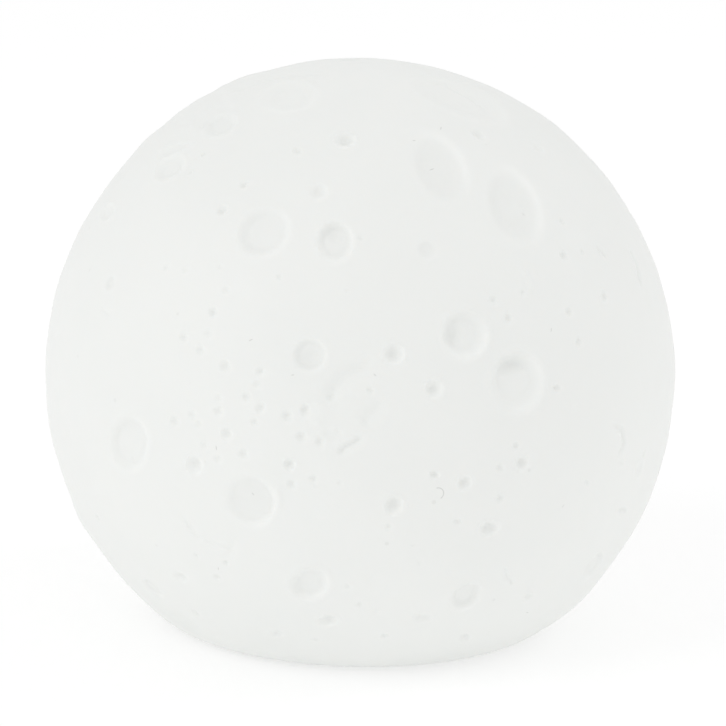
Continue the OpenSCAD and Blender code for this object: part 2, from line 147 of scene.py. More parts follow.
PHOTO_DIPS = [
    # large and flat
    (263, 231, 25, 0, 0, 0.85, "flat"), (439, 167, 38, 24, 60, 1.10, "half", (-0.12, 0.0), (0.9, -0.35)),
    (513, 205, 41, 25, 66, 1.25, "half", (-0.12, 0.0), (0.95, -0.15)), (128, 444, 19, 27, 0, 0.95, "flat", (-0.15, -0.1)),
    (250, 501, 25, 0, 0, 0.55, "disc", (0.35, 0.12)), (289, 95, 27, 14, -8, 0.85, "far"), (460, 97, 50, 14, 21, 0.80, "far"),
    (170, 167, 18, 10, -38, 0.80, "far"), (220, 124, 18, 11, -25, 0.90, "far"), (107, 212, 10, 6, -55, 0.50, "far"),
    (173, 150, 17, 5, -25, 0.40, "far"), (200, 100, 24, 5, -32, 0.30, "far"), (152, 588, 12, 0, 0, 0.45, "flat"),
    (593, 565, 15, 0, 0, 0.50, "flat"), (350, 59, 11, 0, 0, 0.45, "flat"), (69, 495, 12, 0, 0, 0.50, "flat"),
    # bowls
    (516, 382, 27.5, 0, 0, 1.15, "bowl", (-0.22, -0.28), (0.95, 0.35)), (513, 363, 24, 15, -12, 1.15, "inner"),
    (464, 334, 22, 0, 0, 1.15, "bowl", (-0.3, -0.08), (0.75, 0.65)), (454, 334, 12, 17, 20, 0.75, "inner"),
    (335, 241, 18, 20.5, 0, 1.15, "dark", (0.0, -0.3)), (335, 231, 12, 11, 0, 0.35, "inner"),
    (310, 355, 15.5, 0, 0, 0.90, "worn"), (312, 356, 12, 12, 0, 0.40, "inner"), (309, 584, 19.5, 16, -15, 1.15, "bowl", (-0.15, 0.0)),
    (466, 596, 16.5, 11, -35, 1.00, "dark"), (427, 249, 9.5, 0, 0, 0.25, "shallow_dark"), (110, 283, 8, 0, 0, 0.3, "shallow_dark"),
    # strong pits
    (345, 140, 10, 0, 0, 1.15, "pit"), (394, 354, 9.5, 0, 0, 1.10, "pit"), (434, 389, 8.5, 0, 0, 0.95, "pit"),
    (394, 505, 9, 0, 0, 1.00, "pit"), (195, 465, 9, 0, 0, 0.95, "pit"), (522, 463, 7.5, 0, 0, 0.85, "pit"),
    (465, 483, 8.5, 6.5, -40, 0.85, "pit"), (489, 528, 10, 7, -15, 1.00, "pit"), (435, 475, 5.5, 4, 0, 0.60, "pit"),
    (289, 465, 6, 0, 0, 0.70, "pit"), (226, 434, 6, 0, 0, 0.70, "pit"), (318, 191, 9, 0, 0, 0.55, "pit"),
    (328, 621, 10, 5.5, 0, 0.80, "pit"),
    # middling and small ones
    (479, 134, 9.5, 4.5, 38, 0.75, "small"), (244, 184, 5, 0, 0, 0.55, "small"),
    (222, 210, 6.5, 0, 0, 0.70, "small"), (203, 155, 3.5, 0, 0, 0.35, "small"), (191, 172, 3.5, 0, 0, 0.35, "small"),
    (297, 151, 5.5, 4.5, 0, 0.55, "small"), (360, 238, 3, 0, 0, 0.30, "small"), (213, 312, 5.5, 0, 0, 0.65, "small"),
    (183, 337, 5.5, 0, 0, 0.55, "small"), (208, 333, 5.5, 0, 0, 0.28, "small"), (200, 350, 5.5, 0, 0, 0.55, "small"),
    (225, 366, 6.5, 0, 0, 0.70, "small"), (260, 371, 5, 0, 0, 0.55, "small"), (257, 384, 4.5, 0, 0, 0.30, "small"),
    (246, 397, 5.5, 0, 0, 0.60, "small"), (218, 411, 5.5, 0, 0, 0.60, "small"), (218, 398, 4.5, 0, 0, 0.30, "small"),
    (174, 421, 6, 0, 0, 0.60, "small"), (192, 415, 5.5, 0, 0, 0.30, "small"), (198, 424, 4.5, 0, 0, 0.28, "small"),
    (204, 445, 4.5, 0, 0, 0.42, "small"), (217, 459, 4.5, 3.5, 0, 0.40, "small"), (243, 454, 5.5, 0, 0, 0.60, "small"),
    (260, 408, 5.5, 7, 20, 0.60, "small"), (254, 422, 4.5, 0, 0, 0.45, "small"), (287, 416, 6, 0, 0, 0.70, "small"),
    (305, 410, 5.5, 7.5, 0, 0.70, "small"), (301, 437, 6, 0, 0, 0.65, "small"), (320, 442, 6, 7, 0, 0.60, "small"),
    (291, 485, 5, 0, 0, 0.55, "small"), (313, 479, 4.5, 0, 0, 0.45, "small"), (166, 268, 4, 0, 0, 0.22, "small"),
    (185, 270, 4, 0, 0, 0.22, "small"), (220, 267, 2.5, 0, 0, 0.25, "small"), (226, 290, 5, 0, 0, 0.28, "small"),
    (279, 277, 3, 0, 0, 0.30, "small"), (347, 291, 2.5, 0, 0, 0.22, "small"), (562, 221, 3.5, 0, 0, 0.32, "small"),
    (564, 255, 5.5, 0, 0, 0.60, "small"), (582, 252, 3.5, 0, 0, 0.32, "small"), (538, 147, 8, 3, 35, 0.40, "small"),
    (604, 296, 6, 0, 0, 0.60, "small"), (568, 312, 5, 0, 0, 0.50, "small"), (578, 342, 5, 0, 0, 0.52, "small"),
    (556, 388, 5, 4, 0, 0.55, "small"), (493, 300, 5, 0, 0, 0.50, "small"), (508, 318, 5.5, 0, 0, 0.60, "small"),
    (522, 293, 3.5, 0, 0, 0.32, "small"), (516, 446, 4, 0, 0, 0.45, "small"), (500, 468, 5, 0, 0, 0.50, "small"),
    (500, 498, 5, 0, 0, 0.50, "small"), (645, 455, 4, 0, 0, 0.40, "small"), (640, 470, 4, 10, 15, 0.45, "small"),
    (622, 463, 4.5, 0, 0, 0.28, "small"), (623, 511, 6, 4, -20, 0.60, "small"), (587, 483, 3.5, 0, 0, 0.32, "small"),
    (528, 597, 6, 0, 0, 0.60, "small"), (512, 583, 3, 0, 0, 0.30, "small"), (465, 638, 6, 4, -10, 0.60, "small"),
    (457, 522, 5.5, 3, 0, 0.45, "small"), (388, 527, 4, 0, 0, 0.40, "small"), (370, 390, 4, 0, 0, 0.40, "small"),
    (340, 483, 3, 0, 0, 0.22, "small"), (98, 518, 4.5, 0, 0, 0.45, "small"), (180, 578, 8, 4.5, 30, 0.65, "small"),
    (226, 563, 3.5, 0, 0, 0.40, "small"), (196, 556, 3.5, 0, 0, 0.35, "small"), (217, 578, 4.5, 0, 0, 0.42, "small"),
    (195, 614, 5.5, 0, 0, 0.50, "small"), (276, 634, 7, 3.5, 0, 0.45, "small"), (359, 605, 3.5, 0, 0, 0.35, "small"),
    (384, 636, 4.5, 0, 0, 0.45, "small"), (422, 618, 10, 4.5, 0, 0.65, "small"), (347, 587, 3.5, 0, 0, 0.32, "small"),
    (412, 545, 2, 0, 0, 0.22, "small"), (419, 563, 3, 0, 0, 0.25, "small"), (375, 612, 4, 0, 0, 0.22, "small"),
    (315, 640, 4, 0, 0, 0.25, "small"), (267, 652, 4, 0, 0, 0.22, "small"), (130, 459, 2.5, 0, 0, 0.22, "small"),
    (314, 487, 3, 0, 0, -0.20, "small"), (571, 406, 2.5, 0, 0, -0.15, "small"), (331, 397, 6, 4.5, -30, 0.40, "small"),
]
for row in PHOTO_DIPS:
    photo_dip(*row)

# the sides and the back, which the photograph doesn't show: the CAD's large ones, then a seeded
# scatter in the same style and density
SIDE_DIPS = [
    (98, 24, 6.5, 0.85, "flat"), (118, -6, 4.4, 1.50, "bowl"), (140, 33, 5.2, 0.75, "flat"), (161, 8, 4.0, 1.35, "bowl"),
    (178, 47, 7.0, 0.80, "flat"), (-158, 18, 4.8, 1.75, "bowl"), (-140, -12, 5.6, 0.65, "flat"),
    (-121, 36, 4.4, 0.60, "flat"), (-104, 10, 5.0, 0.80, "flat"), (-84, -22, 3.6, 0.65, "flat"),
    (160, -22, 3.4, 0.80, "bowl"), (130, 64, 5.0, 0.60, "flat"),
]
for az, el, ang, depth, kind in SIDE_DIPS:
    r = R * math.sin(math.radians(ang))
    dip(from_angles(az, el), np.eye(2) / r**2, depth, kind, r)

rng = np.random.default_rng(20)


def scatter(count, r_lo, r_hi, share, kind, gap):
    made = tries = 0
    while made < count and tries < 6000:
        tries += 1
        v = rng.normal(size=3)
        v /= np.linalg.norm(v)
        r = r_lo + (r_hi - r_lo) * rng.random() ** 1.6
        depth = r * share * rng.uniform(0.7, 1.15)
        stretch, turn = rng.uniform(0.0, 0.16), rng.uniform(0, math.pi)
        if v @ BACK > -0.02 - r / R or v[2] < -0.62:  # seen in the photograph, or near the flat bottom
            continue
        if v[1] > 0.7 and v[2] < -0.42 and abs(v[0]) < 0.24:  # the plug notch
            continue
        if any(math.acos(min(1, v @ d["c"])) * R < (r + d["r"]) * gap for d in DIPS):
            continue
        u = np.array([math.cos(turn), math.sin(turn)])
        w = np.array([-u[1], u[0]])
        form = np.outer(u, u) / (r * (1 + stretch)) ** 2 + np.outer(w, w) / (r * (1 - stretch)) ** 2
        dip(v, form, depth, kind, r * (1 + stretch))
        made += 1


scatter(5, 2.8, 4.6, 0.30, "bowl", 1.15)
scatter(9, 2.8, 5.2, 0.13, "flat", 1.05)
scatter(14, 1.25, 2.0, 0.75, "pit", 1.15)
scatter(95, 0.65, 1.45, 0.5, "small", 1.1)

# grooves and low ridges: points in px, half width in mm, depth in mm (negative stands up)
GROOVES = []


def groove(points, half, depth):
    GROOVES.append((np.array([p if len(p) == 3 else on_ball(*p) for p in points]), half, depth))


groove([(327, 402), (335, 387), (346, 375), (359, 369), (382, 366)], 1.8, 0.85)
groove([(337, 455), (346, 447), (354, 443), (364, 436)], 0.75, 0.75)
groove([(360, 424), (372, 414), (384, 401)], 1.5, 0.60)
groove([(322, 432), (333, 436), (341, 430)], 1.0, 0.35)
groove([(184, 516), (188, 526), (194, 536), (202, 541)], 0.5, 0.30)
groove([(204, 541), (216, 546), (232, 549)], 0.5, 0.26)
groove([(236, 536), (232, 548), (226, 560)], 0.9, 0.22)
groove([(100, 308), (105, 312), (111, 319)], 0.6, 0.22)
groove([(595, 246), (601, 252), (607, 258)], 0.45, 0.40)
groove([(222, 95), (245, 88), (270, 79), (295, 74), (330, 75)], 1.3, 0.60)
groove([(266, 88), (287, 82), (303, 80), (316, 84)], 1.0, -0.35)
groove([(452, 79), (480, 89), (510, 108)], 1.4, -0.45)
groove([(424, 81), (446, 83), (470, 94), (493, 111)], 0.6, 0.35)
groove([(629, 247), (637, 264), (641, 287)], 0.55, 0.50)
groove([(610, 424), (622, 430), (624, 443), (617, 458)], 0.6, 0.50)
groove([(521, 270), (528, 281), (530, 295)], 0.8, -0.30)
groove([(504, 567), (507, 577), (514, 583)], 0.4, 0.25)
groove([(275, 483), (279, 500), (273, 516), (258, 526)], 0.8, -0.30)
groove([(262, 374), (280, 372), (296, 378)], 2.2, -0.22)
groove([(318, 400), (320, 414), (312, 428)], 1.8, -0.45)
groove([(340, 400), (352, 408), (358, 398)], 2.0, -0.22)
groove([(410, 560), (424, 551), (446, 549)], 1.1, 0.12)
for k in range(11):
    v = rng.normal(size=3)
    v /= np.linalg.norm(v)
    while v @ BACK > -0.1 or v[2] < -0.45 or (v[1] > 0.6 and v[2] < -0.3 and abs(v[0]) < 0.3):
        v = rng.normal(size=3)
        v /= np.linalg.norm(v)
    e1, e2 = basis(v)
    turn, bend, long = rng.uniform(0, 6.28), rng.uniform(-0.5, 0.5), rng.uniform(0.05, 0.14)
    line = []
    for t in np.linspace(-0.5, 0.5, 5):
        a = turn + bend * t
        p = v + long * t * (math.cos(a) * e1 + math.sin(a) * e2)
        line.append(tuple(p / np.linalg.norm(p)))
    groove(line, rng.uniform(0.6, 1.4), rng.choice([0.24, 0.3, -0.14]))


def smooth(t):
    t = np.clip(t, 0, 1)
    return t * t * (3 - 2 * t)


# broad swellings at the outline: px, height and half width in mm
BULGES = [
    (on_ball(x, y), high, wide)
    for x, y, high, wide in (
        (576, 600, 1.0, 10.0), (192, 96, 1.05, 7.0), (238, 76, 0.45, 5.0), (308, 56, 0.3, 6.0), (142, 137, 0.6, 6.0),
        (78, 522, 0.6, 5.0), (198, 638, -2.0, 9.0), (640, 515, 0.4, 8.0),
    )
]

CEN = np.array([d["c"] for d in DIPS])
REACH = np.array([min(d["r"] * 1.75 + 0.3, 30.0) for d in DIPS])

# soft unevenness of the moulded skin: a seeded sum of waves
WAVES = []
for length, high, count in ((34.0, 0.11, 14), (15.0, 0.055, 22), (6.5, 0.018, 34)):
    k = rng.normal(size=(count, 3))
    k /= np.linalg.norm(k, axis=1, keepdims=True)
    k *= 2 * math.pi / (length * rng.uniform(0.75, 1.3, (count, 1)))
    WAVES.append((k, rng.uniform(0, 6.28, count), high * math.sqrt(2 / count)))


def height(u, base_z, dips_only=False):
    """How far the skin stands out of the plain ball, in mm, for unit vectors u. dips_only: instead the
    painted light on the skin, from -1 where crater floors get painted shade to 1 where crater rims get a painted
    highlight."""
    out = np.zeros(len(u))
    p = u * R
    if not dips_only:
        for k, phase, amp in WAVES:
            out += amp * np.cos(p @ k.T + phase).sum(1)
        for c, high, wide in BULGES:
            out += high * np.exp(-((R / wide) ** 2) * 2 * (1 - u @ c))
    for s in range(0, len(u), 20000):
        part = u[s : s + 20000]
        near = part @ CEN.T > np.cos(REACH / R)[None]
        add = np.zeros(len(part))
        for j in np.nonzero(near.any(0))[0]:
            d = DIPS[j]
            i = np.nonzero(near[:, j])[0]
            t = part[i] - d["c"]
            xy = np.stack([t @ d["e1"], t @ d["e2"]], 1) * R
            rho = np.sqrt(np.einsum("ij,jk,ik->i", xy, d["q"], xy))
            if dips_only:
                # painted shade on the crater floor, stronger away from far_side, and a painted highlight on the crest
                # towards far_side
                side = xy @ d["side"] / np.maximum(np.linalg.norm(xy, axis=1), 0.01)
                add[i] -= d["dust_and_painted_shade"] * smooth((1 - rho) / 0.3) * np.clip(0.75 - 0.45 * side * rho, 0, 1)
                band = 0.18 if d["r"] > 2.6 else 0.3
                add[i] += d["painted_highlight"] * np.exp(-(((rho - 1.0) / band) ** 2)) * smooth(side * 1.1 + 0.1)
                continue
            tilt = np.clip(xy @ d["lean"] / d["r"], -1, 1)
            w = d["w"] * (1 - 0.6 * tilt)
            body = smooth((1 - rho) / w) * (1 - d["fl"] * np.minimum(rho, 1) ** 2) * (1 + tilt)
            lip = d["rim"] * np.exp(-(((rho - 1.09) / 0.12) ** 2)) * np.clip(1 - 1.6 * tilt, 0.2, 2.2)
            add[i] += lip - d["d"] * body
        for line, half, depth in [] if dips_only else GROOVES:
            a, b = line[:-1], line[1:]
            i = np.nonzero((part @ line.T).max(1) > math.cos((half * 3 + 5) / R))[0]
            if not len(i):
                continue
            q = part[i][:, None] - a[None]
            ab = (b - a)[None]
            t = np.clip((q * ab).sum(2) / (ab * ab).sum(2), 0, 1)
            dist = np.linalg.norm(q - t[..., None] * ab, axis=2) * R
            k = dist.argmin(1)
            along = (k + t[np.arange(len(i)), k]) / len(a)
            taper = smooth(along / 0.22) * smooth((1 - along) / 0.22)
            add[i] -= depth * np.exp(-((dist.min(1) / half) ** 2)) * (0.15 + 0.85 * taper)
        out[s : s + 20000] += add
    x, y = p[:, 0], p[:, 1]
    mask = smooth((base_z - 1.2) / 5.0)
    gap = np.maximum(np.abs(x) - 7.5, base_z - 9.0)  # how far outside the plug notch, when at the back
    mask *= np.where(y > 25, smooth(gap / 2.5), 1.0)
    return np.maximum(out, -2.4) * mask


# ---------------------------------------------------------------- the shade's mesh
FX, FZ, FR = 40.80441, 12.0, 12.0  # the rounded edge at the flat bottom
PHI_T = math.atan2(FX + FR * math.sin(math.atan2(FX, ZC - FZ)), ZC - (FZ - FR * math.cos(math.atan2(FX, ZC - FZ))))
PHI_F = math.atan2(FX, ZC)


def skin(u):
    """Points of the plain outer surface, mm, in the directions u from the ball's centre."""
    phi = np.arctan2(np.hypot(u[:, 0], u[:, 1]), -u[:, 2])
    s, c = np.sin(phi), np.cos(phi)
    dc = s * FX + c * (ZC - FZ)
    fillet = dc + np.sqrt(np.maximum(dc * dc - (FX**2 + (ZC - FZ) ** 2) + FR**2, 0))
    rho = np.where(phi >= PHI_T, R, np.where(phi >= PHI_F, fillet, ZC / np.maximum(c, 0.1)))
    return u * rho[:, None] + np.array([0, 0, ZC])


def lathe(profile, n, closed_axis=True):
    """Vertices and faces of a profile [(r, z), ...] turned round the axis; a point with r = 0 is one vertex."""
    verts, rings, faces = [], [], []
    for r, z in profile:
        if r < 1e-6:
            rings.append([len(verts)])
            verts.append((0, 0, z))
        else:
            rings.append(list(range(len(verts), len(verts) + n)))
            verts += [(r * math.sin(2 * math.pi * i / n), -r * math.cos(2 * math.pi * i / n), z) for i in range(n)]
    for p, q in zip(rings, rings[1:]):
        for i in range(n):
            j = (i + 1) % n
            if len(p) == 1:
                faces.append((p[0], q[i], q[j]))
            elif len(q) == 1:
                faces.append((p[i], q[0], p[j]))
            else:
                faces.append((p[i], q[i], q[j], p[j]))
    return verts, faces, rings


def arc(cx, cz, r, a0, a1, n):
    return [(cx + r * math.cos(math.radians(a)), cz + r * math.sin(math.radians(a))) for a in np.linspace(a0, a1, n)]


def object_from(name, verts, faces):
    mesh = bpy.data.meshes.new(name)
    mesh.from_pydata([tuple(v) for v in verts], [], [tuple(f) for f in faces])
    mesh.validate()
    mesh.update()
    obj = bpy.data.objects.new(name, mesh)
    bpy.context.scene.collection.objects.link(obj)
    return obj


def plain_shell(step=1.75, seg=168):
    """Closed shell of the plain shade: rings on the outer surface, and a turned inner surface."""
    thetas = []
    along = math.radians(180) - PHI_T
    k = int(round(along * R / step))
    thetas += [along * i / k for i in range(k + 1)]
    fillet = math.atan2(FX, ZC - FZ)
    for i in range(1, 11):
        a = fillet * (1 - i / 10)
        r, z = FX + FR * math.sin(a), FZ - FR * math.cos(a)
        thetas.append(math.pi - math.atan2(r, ZC - z))
    for i in range(1, 4):
        thetas.append(math.pi - math.atan2(FX + (36.3 - FX) * i / 3, ZC))
    verts, rings = [], []
    for n, th in enumerate(thetas):
        if n == 0:
            rings.append([0])
            verts.append(skin(np.array([[0, 0, 1.0]]))[0])
            continue
        last = n == len(thetas) - 1
        edge = k - 2 <= n < len(thetas) - 3  # even rows of squares on the rounded edge
        r = skin(np.array([[math.sin(th), 0, math.cos(th)]]))[0][0]
        count = seg if last else max(6, int(round(2 * math.pi * r / (step * 1.08))))
        count = 2 * seg if edge else count
        turn = 0.0 if last or edge else (n % 2) * math.pi / count
        a = 2 * math.pi * np.arange(count) / count + turn
        u = np.stack([math.sin(th) * np.sin(a), -math.sin(th) * np.cos(a), np.full(count, math.cos(th))], 1)
        rings.append(list(range(len(verts), len(verts) + count)))
        verts += list(skin(u))
    faces = []
    for p, q in zip(rings, rings[1:]):
        if len(p) == 1:
            faces += [(p[0], q[i], q[(i + 1) % len(q)]) for i in range(len(q))]
            continue
        V = np.array(verts)
        ap = np.mod(np.arctan2(V[p][:, 0], -V[p][:, 1]), 2 * math.pi)
        aq = np.mod(np.arctan2(V[q][:, 0], -V[q][:, 1]), 2 * math.pi)
        # walk round both rings, always taking the step that comes first
        i, j, np_, nq = 0, 0, len(p), len(q)
        ap = ap - 2 * math.pi * (ap > 6.2831)
        aq = aq - 2 * math.pi * (aq > 6.2831)
        while i < np_ or j < nq:
            ni = ap[(i + 1) % np_] + 2 * math.pi * ((i + 1) // np_)
            nj = aq[(j + 1) % nq] + 2 * math.pi * ((j + 1) // nq)
            if j >= nq or (i < np_ and ni <= nj):
                faces.append((p[i % np_], q[j % nq], p[(i + 1) % np_]))
                i += 1
            else:
                faces.append((p[i % np_], q[j % nq], q[(j + 1) % nq]))
                j += 1
    outer_last = rings[-1]
    a = math.degrees(math.atan2(FX, ZC - FZ))
    inner = [(36.3, 0.0), (36.3, 2.9), (34.0, 2.9), (34.0, 5.5), (34.0, 9.0), (34.0, 12.5)]
    inner += arc(34.0 + 1.35, 14.65, 1.35, 180, 100, 6) + arc(37.2 - 1.35, 14.65, 1.35, 80, 0, 6)
    inner += [(37.2, 11.0), (37.2, 7.0)] + arc(37.2 + 1.2, 3 + 1.2, 1.2, 180, 270, 4)
    inner += arc(FX, FZ, 9.0, -90, -90 + a, 6)
    inner += [(72 * math.sin(t), ZC - 72 * math.cos(t)) for t in np.linspace(math.radians(a), math.pi, 44)[1:-1]]
    inner += [(0.0, ZC + 72)]
    iv, jf, ir = lathe(inner, seg)
    shift = len(verts)
    where = {ir[0][i]: outer_last[i] for i in range(seg)}
    where.update({i: shift + i - seg for i in range(seg, len(iv))})
    verts += iv[seg:]
    faces += [tuple(where[i] for i in f) for f in jf]
    return verts, faces


def mid_wall():
    """Solid that ends half way through the shade's wall, to trim the block round the plug notch."""
    a = math.degrees(math.atan2(FX, ZC - FZ))
    p = [(0.0, 1.5)] + arc(FX, FZ, 10.5, -90, -90 + a, 8)
    p += [(73.5 * math.sin(t), ZC - 73.5 * math.cos(t)) for t in np.linspace(math.radians(a), math.radians(75), 20)[1:]]
    return p + [(0.0, p[-1][1])]


def boolean(target, tool, operation):
    m = target.modifiers.new("cut", "BOOLEAN")
    m.operation, m.solver, m.object = operation, "EXACT", tool
    dg = bpy.context.evaluated_depsgraph_get()
    mesh = bpy.data.meshes.new_from_object(target.evaluated_get(dg), depsgraph=dg)
    target.modifiers.clear()
    target.data = mesh
    bpy.data.objects.remove(tool)


def block(name, x, y, z):
    v = [(a, b, c) for a in x for b in y for c in z]
    f = [(0, 1, 3, 2), (4, 6, 7, 5), (0, 4, 5, 1), (2, 3, 7, 6), (0, 2, 6, 4), (1, 5, 7, 3)]
    return object_from(name, v, f)


def notch_tool():
    pts = []
    for cx, cz, a0 in ((5.0, 6.5, 0), (-5.0, 6.5, 90), (-5.0, -4.5, 180), (5.0, -4.5, 270)):
        pts += [(cx + 2.5 * math.cos(math.radians(a0 + 15 * i)), cz + 2.5 * math.sin(math.radians(a0 + 15 * i))) for i in range(7)]
    n = len(pts)
    v = [(x, 29.85, z) for x, z in pts] + [(x, 59.85, z) for x, z in pts]
    f = [tuple(range(n))[::-1], tuple(range(n, 2 * n))]
    f += [(i, (i + 1) % n, n + (i + 1) % n, n + i) for i in range(n)]
    return object_from("notch_tool", v, f)


def outward(obj):
    """Turns all faces outward, for a closed mesh."""
    V = np.array([v.co for v in obj.data.vertices])
    obj.data.calc_loop_triangles()
    T = np.array([t.vertices for t in obj.data.loop_triangles])
    if np.einsum("ij,ij->i", V[T[:, 0]], np.cross(V[T[:, 1]], V[T[:, 2]])).sum() < 0:
        obj.data.flip_normals()


def refine(V, F, free, want, rounds, limit):
    """Splits the edges that want(V, edges) marks, among faces that are free, and keeps the mesh closed."""
    for _ in range(rounds):
        if len(F) > limit:
            break
        E = np.sort(np.stack([F, np.roll(F, -1, 1)], -1).reshape(-1, 2), 1)
        key = E[:, 0].astype(np.int64) * len(V) + E[:, 1]
        uniq, first, inv = np.unique(key, return_index=True, return_inverse=True)
        inv = inv.reshape(-1, 3)
        edges = E[first]
        uses = np.zeros(len(uniq), int)
        np.add.at(uses, inv[free].ravel(), 1)
        can = uses == 2
        length = np.linalg.norm(V[edges[:, 0]] - V[edges[:, 1]], axis=1)
        mark = np.zeros(len(uniq), bool)
        idx = np.nonzero(can)[0]
        mark[idx] = want(V, edges[idx])
        if not mark.any():
            break
        longest = inv[np.arange(len(F)), length[inv].argmax(1)]
        for _ in range(12):  # a face that is split is split on its longest edge too
            hit = mark[inv].any(1) & can[longest] & ~mark[longest]
            if not hit.any():
                break
            mark[longest[hit]] = True
        ids = np.full(len(uniq), -1)
        m = np.nonzero(mark)[0]
        ids[m] = len(V) + np.arange(len(m))
        mid = V[edges[m]].mean(1) - np.array([0, 0, ZC])
        mid /= np.linalg.norm(mid, axis=1, keepdims=True)
        V = np.concatenate([V, skin(mid)])
        split = ids[inv]  # new vertex on edge k, between corners k and k + 1
        count = (split >= 0).sum(1)
        keep = count == 0
        parts, flags = [F[keep]], [free[keep]]
        for k in range(3):  # one edge
            s = (count == 1) & (split[:, k] >= 0)
            a, b, c, n = F[s, k], F[s, (k + 1) % 3], F[s, (k + 2) % 3], split[s, k]
            parts += [np.stack([a, n, c], 1), np.stack([n, b, c], 1)]
            flags += [free[s]] * 2
        for k in range(3):  # two edges, k and k + 1, meeting at corner k + 1
            s = (count == 2) & (split[:, k] >= 0) & (split[:, (k + 1) % 3] >= 0)
            a, b, c = F[s, k], F[s, (k + 1) % 3], F[s, (k + 2) % 3]
            n, o = split[s, k], split[s, (k + 1) % 3]
            parts.append(np.stack([n, b, o], 1))
            short = np.linalg.norm(V[a] - V[o], axis=1) < np.linalg.norm(V[n] - V[c], axis=1)
            parts.append(np.where(short[:, None], np.stack([a, n, o], 1), np.stack([a, n, c], 1)))
            parts.append(np.where(short[:, None], np.stack([a, o, c], 1), np.stack([n, o, c], 1)))
            flags += [free[s]] * 3
        s = count == 3
        a, b, c = F[s].T
        n, o, p = split[s].T
        parts += [np.stack(t, 1) for t in ((a, n, p), (n, b, o), (o, c, p), (n, o, p))]
        flags += [free[s]] * 4
        F, free = np.concatenate(parts), np.concatenate(flags)
    return V, F, free


def unfold(V, F):
    """Flips the long edge of faces whose corners lie on one line, so that they take in some area."""
    F = F.copy()
    for _ in range(80):
        e1, e2 = V[F[:, 1]] - V[F[:, 0]], V[F[:, 2]] - V[F[:, 0]]
        long = np.stack([np.linalg.norm(V[F[:, k]] - V[F[:, (k + 1) % 3]], axis=1) for k in range(3)], 1)
        thin = np.nonzero(np.linalg.norm(np.cross(e1, e2), axis=1) < 1e-6 * long.max(1))[0]
        if not len(thin):
            break
        i = thin[0]
        k = int(long[i].argmax())
        a, b, c = F[i, k], F[i, (k + 1) % 3], F[i, (k + 2) % 3]
        j, m = next((int(r[0]), m) for m in range(3)
                    if len(r := np.nonzero((F[:, m] == b) & (F[:, (m + 1) % 3] == a))[0]))
        d = F[j, (m + 2) % 3]
        F[i], F[j] = (c, a, d), (d, b, c)
    return F


def directions(V):
    u = V - np.array([0, 0, ZC])
    return u / np.linalg.norm(u, axis=1, keepdims=True)


